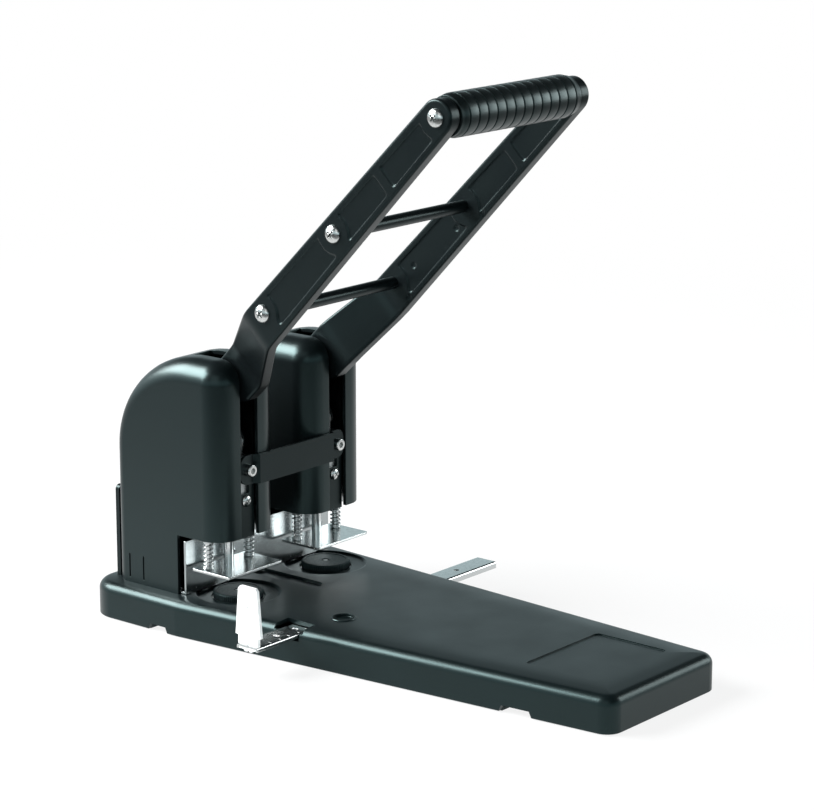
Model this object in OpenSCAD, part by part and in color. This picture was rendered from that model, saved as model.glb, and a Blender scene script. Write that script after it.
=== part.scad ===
// Heavy-duty two-hole lever punch, worked by hand.
// The origin lies midway between the two punch pins, on the table.
// +X is to the right, +Y to the rear, +Z up. All lengths are in millimetres.

/* [Punching] */
// Distance between the two punch pins
pitch = 80; // [76:1:100]
// Distance from the pin axis back to the paper stop
stop_y = 12; // [11:0.5:14]
// Outer diameter of a punch pin
pin_d = 6; // [4:0.5:7]
// Bore of the hollow punch pin
pin_bore_d = 4.2; // [2:0.1:4.2]
// Height of the paper gap between a cutting disc and its presser plate
paper_gap = 14; // [10:0.1:14.5]
// Diameter of a cutting disc
disc_d = 30.8; // [26:0.1:32]
// How far the centre of a cutting disc lies in front of the pin axis
disc_y = 7.4; // [5:0.1:9]

/* [Base] */
// Distance from the pin axis to the front edge of the base
base_front = 293.5; // [260:1:340]
// Distance from the pin axis to the rear edge of the base
base_rear = 85; // [84:1:100]
// Width of the base at the heads
base_w = 156; // [154:1:180]
// Width of the base at its front edge
base_front_w = 105; // [95:1:150]
// Height of the top of the base
base_h = 22.7; // [22:0.1:26]
// Thickness of the moulded walls
wall = 2.5; // [2:0.1:3]
// Radius of the rounded top edge of the base
base_edge_r = 4; // [2:0.5:5]

/* [Heads] */
// Width of one head casing
head_w = 53; // [52:0.5:56]
// Distance from the pin axis to the front of the heads
head_front = 18; // [17.5:0.5:20]
// Distance from the pin axis to the rear of the heads
head_rear = 69; // [67:0.5:71]
// Height of the top of the heads
head_top = 168; // [167:1:180]
// Height of the lower edge of the head above the paper gap
head_skirt_z = 59.5; // [58:0.5:62]
// Radius of the front corners of a head
head_corner_r = 14; // [10:1:16]
// Radius of the big rear curve of a head
head_back_r = 60; // [45:1:62]
// Width of the slot down the front of a head
head_slot_w = 15; // [14.6:0.1:16]

/* [Lever] */
// Angle of the lever above the table at rest
lever_angle = 44.3; // [44:0.1:46]
// Angle through which the lever swings down
lever_swing = 44; // [40:1:44]
// Distance from the pivot axle to the grip
lever_len = 286.7; // [260:0.1:320]
// Diameter of the grip
grip_d = 25; // [20:0.5:30]
// Thickness of a lever arm
arm_t = 9; // [7:0.5:10]
// Distance between the inner faces of the two arms
arm_gap = 108; // [106:1:116]
// Diameter of the cross rods
rod_d = 7.6; // [6:0.1:9]
// Number of ring grooves in the grip
grip_grooves = 12; // [8:1:14]

/* [Presser] */
// Width of a presser plate
plate_w = 47.4; // [46:0.1:50]
// Depth of a presser plate, front to rear
plate_depth = 30.7; // [28:0.1:31]
// Thickness of a presser plate
plate_t = 1.5; // [1:0.1:2]
// Half the distance between the two springs of a presser plate
spring_x = 18; // [17:0.1:18.5]
// Outer diameter of a presser spring
spring_d = 7; // [6.6:0.1:7.2]
// Wire diameter of a presser spring
spring_wire = 0.9; // [0.7:0.05:1.1]
// Curls in a presser spring
spring_curls = 9; // [6:1:10]

/* [Paper guide] */
// Length of the guide bar
bar_len = 222; // [200:1:230]
// Width of the guide bar
bar_w = 16; // [14:0.5:16]
// Distance from the pin axis forward to the middle of the guide bar
bar_y = 74.5; // [72:0.5:90]
// How far the guide bar stands out on the left of the middle plane
bar_left = 105; // [100:1:112]
// Height of the white paper stop above the guide bar
stop_h = 35; // [25:1:40]

/* [Hidden] */

// Shared values: overrun of a cut, clearances, facets of curved pieces
cut = 1;
run_fit = 0.05;
rest_gap = 0.3;
press_gap = 0.02;
plate_rest_gap = 0.1;
$fn = 48;
hull_fn = 28;
edge_steps = 4;
arc_steps = 9;

// Colours of the real finishes
black = [0.10, 0.11, 0.12];
soft_black = [0.16, 0.17, 0.18];
steel = [0.72, 0.73, 0.74];
chrome = [0.85, 0.86, 0.88];
zinc = [0.66, 0.67, 0.66];
white = [0.95, 0.95, 0.93];
bronze = [0.62, 0.48, 0.28];

head_x = pitch / 2;
sides = [-1, 1];

// Base cover
base_top_t = 2.8;
base_rim_z = 0.5;
base_corner_front = 10;
base_corner_rear = 20;
base_straight_y = 10;
base_top_inner = base_h - base_top_t;
well_r = 26;
well_floor_depth = 1.7;
well_lip = 1.4;
disc_room = 0.5;
groove_w = 12;
groove_end = 38;
groove_depth = 1.4;
label_w = 69;
label_rear = 221;
label_front = 270;
label_depth = 0.6;
dimple_x = -37.6;
dimple_y = -89.4;
dimple_r = 7.6;
dimple_rim = 1.3;
dimple_rim_h = 0.5;
dimple_depth = 1.2;
finger_notch_h = 3.6;
finger_notch_len = 20;
finger_notch_ys = [24, -231.5];
shaft_room = 0.4;

// Bottom tray, feet and the screws that hold it
tray_t = 1.6;
tray_gap = 0.4;
tray_wall_h = 9;
tray_wall_t = 1.6;
foot_r = 8;
foot_t = 1.2;
foot_ys = [56, -110, -255];
foot_insets = [28, 21, 22];
screw_ys = [36, -50, -230];
screw_insets = [9, 12.5, 18];
boss_r = 4.5;
screw_r = 1.5;
screw_head_r = 3;
screw_head_h = 1.1;
screw_len = 12;

// Chassis plate
chassis_t = 3;
chassis_top = base_top_inner - 0.5;
chassis_w = pitch + 44;
chassis_front = 24;
chassis_flange = 11;
rear_plate_y = 72.5;
rear_plate_t = 3;
rear_plate_w = pitch + 40;
rear_plate_top = 79.5;
rear_plate_corner_r = 3;
rear_screw_x = 30;

// Cutting discs
disc_top = base_h + 1.7;
disc_float = 0.1;
disc_teeth = 40;
disc_tooth_depth = 0.5;
disc_edge = 0.6;
disc_stud_r = 2.1;
disc_stud_recess = 0.6;

// Back stop
stop_t = 1.5;
stop_gap_below_skirt = 3.4;
stop_end_inset = 1.5;
stop_flange = 3;

// Head casing
head_edge_r = 7;
head_slot_rear = 19;
notch_y = 17.3;
gusset = 6;
snap_slit_w = 1;
snap_slit_h = 15;
snap_slit_z = 25.5;
snap_slit_ys = [46.3, 57.9];

// Steel frame in a head
cheek_in = 9.4;
cheek_t = 2.5;
cheek_out = cheek_in + cheek_t;
cheek_rear = 52;
cheek_top = 150;
cheek_low_z = 76;
cheek_nose_y = -12;
cheek_chamfer = 10;
frame_foot_w = 9;
frame_foot_y0 = 20;
frame_foot_y1 = 48;
web_top = 120;
bridge_z = 106;
bridge_t = 3;
frame_screw_r = 2;
frame_screw_head_r = 3.6;
frame_screw_head_h = 2;

// Pivot axle
pivot_y = 26.5;
pivot_z = 128.5;
axle_r = 5;
axle_half = cheek_out + 2.4;
clip_t = 0.8;
clip_r = 7;
hub_r = 12;
hub_boss_r = 10;
hub_half = cheek_in - 0.2;

// Guide column and return spring
column_r = 5;
column_y = 24;
return_wire = 1.4;
return_mean_r = column_r + 1.3;
return_curls = 10;

// Lever arms, in lengths along the arm from the pivot and heights below its axis
arm_out = arm_gap / 2 + arm_t;
arm_back = 9.2;
arm_front = 17.4;
arm_taper = 0.035;
fold_low = 59;
fold_high = 96;
blade_t = 10;
tongue_t = 6;
tongue_end = 46;
blade_front = 22;
tongue_front = 15;
tongue_front_s = 32;
screw_s = [108.1, 183.7, lever_len];
arm_tip_r = 10.5;
panel_back = 5.4;
panel_margin = 3.5;
panel_depth = 0.8;
panel_boss_r = 11;
panel_ends = [[114.5, 180], [190, 230], [236.5, 280]];
arm_screw_r = 5.4;
arm_screw_h = 2.6;
arm_screw_shank_r = 2.5;
arm_screw_len = 14;
grip_groove_w = 1.2;
grip_groove_depth = 0.7;
grip_collar = 6;
grip_core_r = 5;

// Crank, links and slider pins
stroke = paper_gap - plate_rest_gap;
crank = stroke / (2 * sin(lever_swing / 2));
crank_angle = lever_swing / 2;
link_dy = -12.5;
link_dz = -20.4;
link_pin_r = 3;
link_eye_r = 6.5;
link_in = tongue_t / 2 + rest_gap;
link_t = 2.4;
link_out = link_in + link_t;
link_slot_r = link_pin_r + 0.1;
link_slot_len = crank * (1 - cos(crank_angle)) + 0.1;
link_head_r = 4.2;
link_head_t = 0.9;
link_pin_y = pivot_y - crank * cos(crank_angle);
link_pin_z = pivot_z + crank * sin(crank_angle);
slider_pin_y = link_pin_y + link_dy;
slider_pin_z = link_pin_z + link_dz;

// Slider
slider_half = cheek_in - 0.2;
slider_front = 13;
slider_rear = 9.5;
slider_low = 58;
slider_neck = 8.2;
slider_top = slider_pin_z - slider_neck;
slider_lug_r = 6.4;
foot_half = spring_x + 5;
foot_depth = 7;
foot_top = 74;
column_lug_low = 78;
column_lug_top = 102;
column_lug_rear = 8.6;
bush_r = 6.6;
spring_pocket = 13;
post_r = 2.1;
post_top = foot_top + 3;
post_clip_t = 1;
post_clip_r = 3.3;

// Clamp plate, strap and their screws, on the front of a slider
clamp_t = 2;
clamp_left = 2.6;
clamp_right = 7.1;
clamp_top = slider_top - 0.6;
clamp_step = 85.6;
clamp_tongue_left = -6.5;
clamp_tongue_low = 58.2;
clamp_screw_z = 81;
clamp_screw_r = 3.8;
clamp_screw_h = 2;
strap_t = 2;
strap_h = 18;
strap_z = 100.4;
strap_ear = 6.6;
strap_ear_r = 6;
strap_bend_out = 4;
strap_bend_in = 6.6;
strap_clear = 0.7;
strap_screw_r = 3.7;
strap_screw_h = 4;
strap_socket_r = 1.9;
strap_socket_depth = 2;

// Presser plates
plate_low = disc_top + paper_gap;
plate_top = plate_low + plate_t;
plate_rear = stop_y - 3.5;
plate_corner_r = 1.5;
pin_tip_z = plate_low + 0.1;
pin_head_z = 90;

// Guide bar
bar_top = base_top_inner - 0.5;
bar_sheet = 1.2;
bar_flange = 4.2;
bar_rim_r = 1;
bar_hole_r = 1.7;
bar_hole_in = 30;
bar_recess_x = 58;
bar_side_room = 0.35;
bar_recess_room = 2;
bar_rib_t = 1.2;
retainer_t = 1.5;
retainer_half = 22;
retainer_over = 8;
retainer_screw_x = 14;
retainer_boss_r = 3.6;
leaf_len = 34;
leaf_w = 8;
leaf_t = 0.4;
leaf_gap = 0.15;
stop_in = 0.8;
stop_t_blade = 2.4;
stop_neck_h = 5.4;
stop_neck_w = 15.4;
stop_wide_w = 19.4;
stop_top_w = 14.6;
stop_slot_w = 1.2;
stop_tab_w = 8;
stop_barb = 0.7;
stop_corner = 1.6;

// Helpers

module at_head(side) {
  translate([side * head_x, 0, 0]) children();
}

// A profile drawn in Y and Z, made solid from x0 to x1
module side_plate(x0, x1) {
  translate([x0, 0, 0]) rotate([90, 0, 90]) linear_extrude(x1 - x0) children();
}

// A profile drawn in X and Z, made solid from y0 to y1
module front_plate(y0, y1) {
  translate([0, y1, 0]) rotate([90, 0, 0]) linear_extrude(y1 - y0) children();
}

module x_rod(x0, x1, r, y = 0, z = 0) {
  translate([x0, y, z]) rotate([0, 90, 0]) cylinder(r = r, h = x1 - x0);
}

module y_rod(y0, y1, r, x = 0, z = 0) {
  translate([x, y1, z]) rotate([90, 0, 0]) cylinder(r = r, h = y1 - y0);
}

function mirror_x(p) = [-p.x, p.y];

// Half the width of the tapered base at a given y
function base_half(y) = base_w / 2 - (base_w - base_front_w) / 2
  * max(0, base_straight_y - y) / (base_straight_y + base_front - base_corner_front);

// A slot's outline: round ends of radius r about (0, 0) and (length, 0)
function stadium(length, r, steps = 12) = concat(
  [for (i = [0 : steps]) let (a = 180 * i / steps - 90) [length + r * cos(a), r * sin(a)]],
  [for (i = [0 : steps]) let (a = 180 * i / steps + 90) [r * cos(a), r * sin(a)]]);

module box_between(low, high) {
  translate(low) cube(high - low);
}

// The lever's own frame: -Y runs along the arm from the pivot, -Z is its front
module in_lever() {
  translate([0, pivot_y, pivot_z]) rotate([-lever_angle, 0, 0]) children();
}

// A post with a rounded top edge, used as a corner of a hulled cover
module soft_post(r, h, edge) {
  rotate_extrude($fn = hull_fn)
    polygon(concat(
      [[0, 0], [r, 0]],
      [for (i = [0 : edge_steps]) let (a = 90 * i / edge_steps)
        [r - edge + edge * cos(a), h - edge + edge * sin(a)]],
      [[0, h]]));
}

// The tapered base shape, drawn in by `inset` and `top` high
module base_shape(inset, bottom, top, edge) {
  hull() {
    for (s = sides) {
      for (y = [base_rear - base_corner_rear, base_straight_y])
        translate([s * (base_w / 2 - base_corner_rear), y, bottom])
          soft_post(base_corner_rear - inset, top - bottom, edge);
      translate([s * (base_front_w / 2 - base_corner_front), base_corner_front - base_front, bottom])
        soft_post(base_corner_front - inset, top - bottom, edge);
    }
  }
}

// One unbroken tube of round wire along a helix, its ends straight along the axis
function coil_path(r, length, wire, curls, rings = 8) = concat(
  [[r, 0, 0]],
  [for (i = [0 : curls * rings]) let (a = 360 * i / rings)
    [r * cos(a), r * sin(a), wire + (length - 2 * wire) * i / (curls * rings)]],
  [[r, 0, length]]);

function unit(v) = v / norm(v);

function ring_points(p, t, d, edges) =
  let (out = unit([p.x, p.y, 0]), across = unit(cross(t, out)), up = cross(across, t))
  [for (k = [0 : edges - 1]) let (a = 360 * k / edges) p + d / 2 * (cos(a) * up + sin(a) * across)];

module coil(r, length, wire, curls, edges = 6) {
  path = coil_path(r, length, wire, curls);
  last = len(path) - 1;
  rings = [for (i = [0 : last])
    let (before = path[max(i - 1, 0)], after = path[min(i + 1, last)])
    ring_points(path[i], unit(after - before), wire, edges)];
  points = [for (ring = rings) for (p = ring) p];
  skin = [for (i = [0 : last - 1]) for (k = [0 : edges - 1])
    let (a = i * edges + k, b = i * edges + (k + 1) % edges, c = a + edges, d = b + edges)
    for (face = [[a, c, b], [b, c, d]]) face];
  start_cap = [for (k = [1 : edges - 2]) [0, k, k + 1]];
  end_cap = [for (k = [1 : edges - 2]) [last * edges, last * edges + k + 1, last * edges + k]];
  polyhedron(points = points, faces = concat(skin, start_cap, end_cap), convexity = 10);
}

// The least gap of a coil to itself, between wire surfaces one curl apart
function coil_gap(r, length, wire, curls, rings = 8) =
  let (path = coil_path(r, length, wire, curls, rings))
  min([for (i = [1 : len(path) - 2 - rings]) for (k = [-1 : 1])
    norm(path[i] - path[min(i + rings + k, len(path) - 2)])]) - wire;

// Base

module base_cover() {
  color(black) difference() {
    union() {
      difference() {
        base_shape(0, base_rim_z, base_h, base_edge_r);
        base_shape(wall, base_rim_z - cut, base_top_inner, base_edge_r / 2);
      }
      for (s = sides, place = screw_places)
        translate([s * place.x, place.y, tray_t])
          cylinder(r = boss_r, h = base_top_inner - tray_t + cut);
      for (s = sides, y = bar_boss_ys)
        translate([s * retainer_screw_x, y, retainer_top])
          cylinder(r = retainer_boss_r, h = base_top_inner - retainer_top + cut);
      for (s = sides)
        translate([-base_front_w / 2, s * (bar_w / 2 + bar_side_room + bar_rib_t / 2) - bar_y - bar_rib_t / 2,
            retainer_top])
          cube([base_front_w, bar_rib_t, base_top_inner - retainer_top + cut]);
      translate([dimple_x, dimple_y, base_h - cut]) cylinder(r = dimple_r, h = cut + dimple_rim_h);
    }
    // Dished wells with the holes that the cutting discs stand in
    for (s = sides) at_head(s) translate([0, -disc_y, 0]) {
      translate([0, 0, chassis_top - cut]) cylinder(r = disc_d / 2 + disc_room, h = base_h);
      translate([0, 0, base_h - well_floor_depth]) cylinder(
        r1 = disc_d / 2 + disc_room + well_lip, r2 = well_r, h = well_floor_depth);
      translate([0, 0, base_h]) cylinder(r = well_r, h = cut);
    }
    // Openings under the heads, where the frames stand on the chassis
    for (s = sides) at_head(s)
      box_between([-head_w / 2 + 2 * wall, stop_y + stop_t, base_top_inner - cut],
        [head_w / 2 - 2 * wall, cheek_rear + wall, base_h + cut]);
    // Slot for the rear plate
    box_between([-rear_plate_w / 2 - shaft_room, rear_plate_y - shaft_room, base_top_inner - cut],
      [rear_plate_w / 2 + shaft_room, rear_plate_y + rear_plate_t + shaft_room, base_h + cut]);
    // Centre groove, label recess and dimple
    translate([0, -groove_end + groove_w / 2, base_h - groove_depth]) {
      cylinder(d = groove_w, h = groove_depth + cut);
      translate([-groove_w / 2, 0, 0]) cube([groove_w, stop_y + groove_end - groove_w / 2, groove_depth + cut]);
    }
    box_between([-label_w / 2, -label_front, base_h - label_depth], [label_w / 2, -label_rear, base_h + cut]);
    translate([dimple_x, dimple_y, base_h - dimple_depth])
      cylinder(r = dimple_r - dimple_rim, h = dimple_depth + dimple_rim_h + cut);
    // Way through both side walls for the guide bar, and the cut in the left top edge
    box_between([-base_w, -bar_y - bar_w / 2 - bar_side_room, retainer_top - rest_gap],
      [base_w, -bar_y + bar_w / 2 + bar_side_room, base_top_inner]);
    box_between([-base_w, -bar_y - bar_w / 2 - bar_recess_room, base_top_inner - cut],
      [-bar_recess_x, -bar_y + bar_w / 2 + bar_recess_room, base_h + cut]);
    // Finger notches in the lower edge, to prise off the tray
    for (y = finger_notch_ys)
      box_between([-base_w, y - finger_notch_len / 2, base_rim_z - cut],
        [base_w, y + finger_notch_len / 2, finger_notch_h]);
    for (s = sides, place = screw_places)
      translate([s * place.x, place.y, tray_t - cut])
        cylinder(r = screw_r + press_gap, h = screw_len - tray_t + cut + rest_gap);
  }
}

module bottom_tray() {
  color(soft_black) difference() {
    union() {
      base_shape(wall + tray_gap, 0, tray_t, tray_t / 2);
      difference() {
        base_shape(wall + tray_gap, 0, tray_wall_h, tray_t / 2);
        base_shape(wall + tray_gap + tray_wall_t, -cut, tray_wall_h + cut, tray_t / 2);
      }
    }
    for (s = sides, place = foot_places)
      translate([s * place.x, place.y, -cut]) cylinder(r = foot_r + press_gap, h = cut + foot_t);
    for (s = sides, place = screw_places) translate([s * place.x, place.y, -cut]) {
      cylinder(r = screw_r + press_gap, h = 2 * cut + tray_t);
      cylinder(r = screw_head_r + press_gap, h = cut + screw_head_h);
    }
  }
}

module rubber_feet() {
  color(soft_black) for (s = sides, place = foot_places)
    translate([s * place.x, place.y, 0]) cylinder(r = foot_r, h = foot_t);
}

module base_screws() {
  color(steel) for (s = sides, place = screw_places) translate([s * place.x, place.y, 0]) difference() {
    union() {
      cylinder(r = screw_head_r, h = screw_head_h);
      cylinder(r = screw_r, h = screw_len);
    }
    cross_recess(screw_head_r, screw_head_h);
  }
}

// A cross recess sunk into the face at z = 0, which faces down
module cross_recess(r, depth) {
  for (a = [0, 90]) rotate([0, 0, a])
    translate([-r * 0.6, -r * 0.14, -cut]) cube([r * 1.2, r * 0.28, cut + depth * 0.6]);
}

module chassis_plate() {
  color(steel) difference() {
    union() {
      box_between([-chassis_w / 2, -chassis_front, chassis_top - chassis_t],
        [chassis_w / 2, rear_plate_y, chassis_top]);
      box_between([-chassis_w / 2, rear_plate_y - chassis_t, chassis_top - chassis_flange],
        [chassis_w / 2, rear_plate_y, chassis_top]);
    }
    for (s = sides) at_head(s) {
      translate([0, -disc_y, chassis_top - chassis_t - cut])
        cylinder(r = disc_stud_r + press_gap, h = chassis_t + 2 * cut);
      for (e = sides, y = frame_screw_ys)
        translate([e * frame_screw_x, y, chassis_top - chassis_t - cut])
          cylinder(r = frame_screw_r + press_gap, h = chassis_t + 2 * cut);
    }
    for (s = sides)
      y_rod(rear_plate_y - chassis_t - cut, rear_plate_y + cut, frame_screw_r + press_gap,
        s * rear_screw_x, rear_screw_z);
  }
}

module back_stop() {
  color(chrome) union() {
    front_plate(stop_y, stop_y + stop_t) polygon(stop_outline);
    box_between([-stop_half, stop_y + stop_t, base_h], [-head_x - cheek_out - rest_gap, stop_y + stop_t + stop_flange, base_h + stop_t]);
    box_between([head_x + cheek_out + rest_gap, stop_y + stop_t, base_h], [stop_half, stop_y + stop_t + stop_flange, base_h + stop_t]);
  }
}

module rear_plate() {
  color(black) difference() {
    front_plate(rear_plate_y, rear_plate_y + rear_plate_t) difference() {
      union() {
        translate([-rear_plate_w / 2, chassis_top - chassis_flange])
          square([rear_plate_w, rear_plate_top - rear_plate_corner_r - chassis_top + chassis_flange]);
        translate([-rear_plate_w / 2 + rear_plate_corner_r, rear_plate_top - rear_plate_corner_r - cut])
          square([rear_plate_w - 2 * rear_plate_corner_r, rear_plate_corner_r + cut]);
        for (s = sides)
          translate([s * (rear_plate_w / 2 - rear_plate_corner_r), rear_plate_top - rear_plate_corner_r])
            circle(r = rear_plate_corner_r);
      }
      for (s = sides) translate([s * rear_screw_x, rear_screw_z]) circle(r = frame_screw_r + press_gap);
    }
  }
}

module rear_plate_screws() {
  color(steel) for (s = sides) {
    y_rod(rear_plate_y + rear_plate_t, rear_plate_y + rear_plate_t + frame_screw_head_h,
      frame_screw_head_r, s * rear_screw_x, rear_screw_z);
    y_rod(rear_plate_y - chassis_t - cut, rear_plate_y + rear_plate_t, frame_screw_r,
      s * rear_screw_x, rear_screw_z);
  }
}

// Heads

// The outer shape of a head, drawn in by `inset`
module head_shape(inset, bottom) {
  arc_r = head_back_r - head_edge_r;
  arc_y = head_rear - head_back_r;
  arc_z = head_top - head_back_r;
  hull() {
    for (s = sides) {
      translate([s * (head_w / 2 - head_corner_r), head_corner_r - head_front, 0]) {
        translate([0, 0, bottom])
          cylinder(r = head_corner_r - inset, h = head_top - head_corner_r - bottom, $fn = hull_fn);
        translate([0, 0, head_top - head_corner_r]) sphere(r = head_corner_r - inset, $fn = hull_fn);
      }
      translate([s * (head_w / 2 - head_edge_r), head_rear - head_edge_r, bottom])
        cylinder(r = head_edge_r - inset, h = arc_z - bottom, $fn = hull_fn);
      for (i = [0 : arc_steps])
        let (a = 90 * i / arc_steps)
          translate([s * (head_w / 2 - head_edge_r), arc_y + arc_r * cos(a), arc_z + arc_r * sin(a)])
            sphere(r = head_edge_r - inset, $fn = 16);
    }
  }
}

module head_casing(side) {
  at_head(side) color(black) difference() {
    head_shape(0, base_h);
    head_shape(wall, base_h - cut);
    // Front part stops above the paper gap
    difference() {
      box_between([-head_w, -head_front - cut, base_h - cut], [head_w, notch_y, head_skirt_z]);
      for (s = sides) translate([s * head_w / 2, 0, 0])
        side_plate(-wall, wall) polygon([
          [notch_y + cut, head_skirt_z + cut], [notch_y - gusset, head_skirt_z + cut],
          [notch_y - gusset, head_skirt_z], [notch_y, head_skirt_z - gusset],
          [notch_y + cut, head_skirt_z - gusset]]);
    }
    // Slot down the front and over the top, for the lever, links and slider
    box_between([-head_slot_w / 2, -head_front - cut, base_h], [head_slot_w / 2, head_corner_r - head_front, head_top + cut]);
    box_between([-head_slot_w / 2, -head_front, head_top - head_back_r / 2], [head_slot_w / 2, head_slot_rear, head_top + cut]);
    // Slits of the snap tab, low on the outer side
    for (y = snap_slit_ys)
      translate([side * (head_w / 2 - wall) - (side < 0 ? wall + cut : cut), y - snap_slit_w / 2, snap_slit_z])
        cube([wall + 2 * cut, snap_slit_w, snap_slit_h]);
  }
}

module head_casing_left() { head_casing(-1); }
module head_casing_right() { head_casing(1); }

module cheek_profile() {
  polygon([
    [stop_y + stop_t, chassis_top], [cheek_rear, chassis_top],
    [cheek_rear, cheek_top - 2 * cheek_chamfer], [cheek_rear - cheek_chamfer, cheek_top],
    [cheek_nose_y + cheek_chamfer, cheek_top], [cheek_nose_y, cheek_top - cheek_chamfer],
    [cheek_nose_y, cheek_low_z], [stop_y + stop_t, cheek_low_z]]);
}

module head_frame(side) {
  at_head(side) color(steel) difference() {
    union() {
      for (s = sides) {
        side_plate(s < 0 ? -cheek_out : cheek_in, s < 0 ? -cheek_in : cheek_out) cheek_profile();
        box_between([s < 0 ? -cheek_out - frame_foot_w : cheek_in, frame_foot_y0, chassis_top],
          [s < 0 ? -cheek_in : cheek_out + frame_foot_w, frame_foot_y1, chassis_top + cheek_t]);
      }
      box_between([-cheek_out, cheek_rear - cheek_t, chassis_top], [cheek_out, cheek_rear, web_top]);
      box_between([-cheek_out, column_y - column_lug_rear, bridge_z], [cheek_out, cheek_rear, bridge_z + bridge_t]);
    }
    x_rod(-cheek_out - cut, cheek_out + cut, axle_r + press_gap, pivot_y, pivot_z);
    translate([0, column_y, bridge_z - cut]) cylinder(r = column_r + press_gap, h = bridge_t + 2 * cut);
    for (e = sides, y = frame_screw_ys)
      translate([e * frame_screw_x, y, chassis_top - cut])
        cylinder(r = frame_screw_r + press_gap, h = cheek_t + 2 * cut);
  }
}

module head_frame_left() { head_frame(-1); }
module head_frame_right() { head_frame(1); }

module frame_screws() {
  color(steel) for (s = sides) at_head(s) for (e = sides, y = frame_screw_ys)
    translate([e * frame_screw_x, y, chassis_top - chassis_t]) {
      cylinder(r = frame_screw_r, h = chassis_t + cheek_t);
      translate([0, 0, chassis_t + cheek_t]) cylinder(r = frame_screw_head_r, h = frame_screw_head_h);
    }
}

module pivot_axle(side) {
  at_head(side) color(steel) difference() {
    x_rod(-axle_half, axle_half, axle_r, pivot_y, pivot_z);
    for (s = sides) translate([s * clip_x, pivot_y, pivot_z]) rotate([0, 90, 0]) difference() {
      cylinder(r = axle_r + cut, h = clip_t, center = true);
      cylinder(r = axle_r - clip_t, h = clip_t + cut, center = true);
    }
  }
}

module pivot_axle_left() { pivot_axle(-1); }
module pivot_axle_right() { pivot_axle(1); }

module axle_clips() {
  color(steel) for (side = sides) at_head(side) for (s = sides)
    translate([s * clip_x, pivot_y, pivot_z]) rotate([0, 90, 0]) difference() {
      cylinder(r = clip_r, h = clip_t - 2 * press_gap, center = true);
      cylinder(r = axle_r - clip_t + press_gap, h = clip_t + cut, center = true);
      translate([clip_r * 0.8, 0, 0]) cube([clip_r, axle_r, clip_t + cut], center = true);
    }
}

module guide_column(side) {
  at_head(side) color(steel) translate([0, column_y, chassis_top])
    cylinder(r = column_r, h = bridge_z + bridge_t - chassis_top);
}

module guide_column_left() { guide_column(-1); }
module guide_column_right() { guide_column(1); }

module disc_pivot(side) {
  at_head(side) color(steel) translate([0, -disc_y, chassis_top - chassis_t])
    cylinder(r = disc_stud_r, h = disc_top - disc_stud_recess - chassis_top + chassis_t);
}

module disc_pivot_left() { disc_pivot(-1); }
module disc_pivot_right() { disc_pivot(1); }

// Paper guide holder under the cover

module bar_retainer() {
  color(steel) difference() {
    box_between([-retainer_half, -bar_y - bar_w / 2 - retainer_over, retainer_top - retainer_t],
      [retainer_half, -bar_y + bar_w / 2 + retainer_over, retainer_top]);
    for (s = sides, y = bar_boss_ys)
      translate([s * retainer_screw_x, y, retainer_top - retainer_t - cut])
        cylinder(r = screw_r + press_gap, h = retainer_t + 2 * cut);
  }
}

module retainer_screws() {
  color(steel) for (s = sides, y = bar_boss_ys)
    translate([s * retainer_screw_x, y, retainer_top - retainer_t]) {
      cylinder(r = screw_r, h = retainer_t);
      translate([0, 0, -screw_head_h]) cylinder(r = screw_head_r, h = screw_head_h);
    }
}

module bar_leaf_spring() {
  rise = bar_top - bar_sheet - leaf_gap - leaf_t - retainer_top;
  steps = 8;
  arch = [for (i = [0 : steps]) [leaf_len * (i / steps - 0.5), retainer_top + rise * sin(180 * i / steps)]];
  color(steel) front_plate(-bar_y - leaf_w / 2, -bar_y + leaf_w / 2)
    polygon(concat(arch, [for (i = [steps : -1 : 0]) arch[i] + [0, leaf_t]]));
}

// Cutting discs

module cutting_disc(side) {
  r = disc_d / 2;
  low = chassis_top + disc_float;
  at_head(side) color(soft_black) translate([0, -disc_y, 0]) difference() {
    union() {
      translate([0, 0, low]) linear_extrude(disc_top - disc_edge - low)
        polygon([for (i = [0 : 2 * disc_teeth - 1])
          let (a = 180 * i / disc_teeth, d = r - (i % 2) * disc_tooth_depth) [d * cos(a), d * sin(a)]]);
      translate([0, 0, low]) cylinder(r = r - disc_tooth_depth - disc_edge, h = disc_top - low);
    }
    translate([0, 0, low - cut]) cylinder(r = disc_stud_r + run_fit, h = disc_top - low + 2 * cut);
  }
}

module cutting_disc_left() { cutting_disc(-1); }
module cutting_disc_right() { cutting_disc(1); }

// Paper guide

module guide_bar() {
  color(steel) translate([-bar_left, -bar_y, 0]) difference() {
    box_between([0, -bar_w / 2, bar_top - bar_flange], [bar_len, bar_w / 2, bar_top]);
    box_between([-cut, -bar_w / 2 + bar_sheet, bar_top - bar_flange - cut],
      [bar_len + cut, bar_w / 2 - bar_sheet, bar_top - bar_sheet]);
    translate([bar_len - bar_hole_in, 0, bar_top - bar_flange]) cylinder(r = bar_hole_r, h = bar_flange + cut);
    box_between([stop_in - press_gap, -stop_tab_w / 2, bar_top - bar_flange],
      [stop_in + stop_t_blade + press_gap, stop_tab_w / 2, bar_top + cut]);
  }
}

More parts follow.
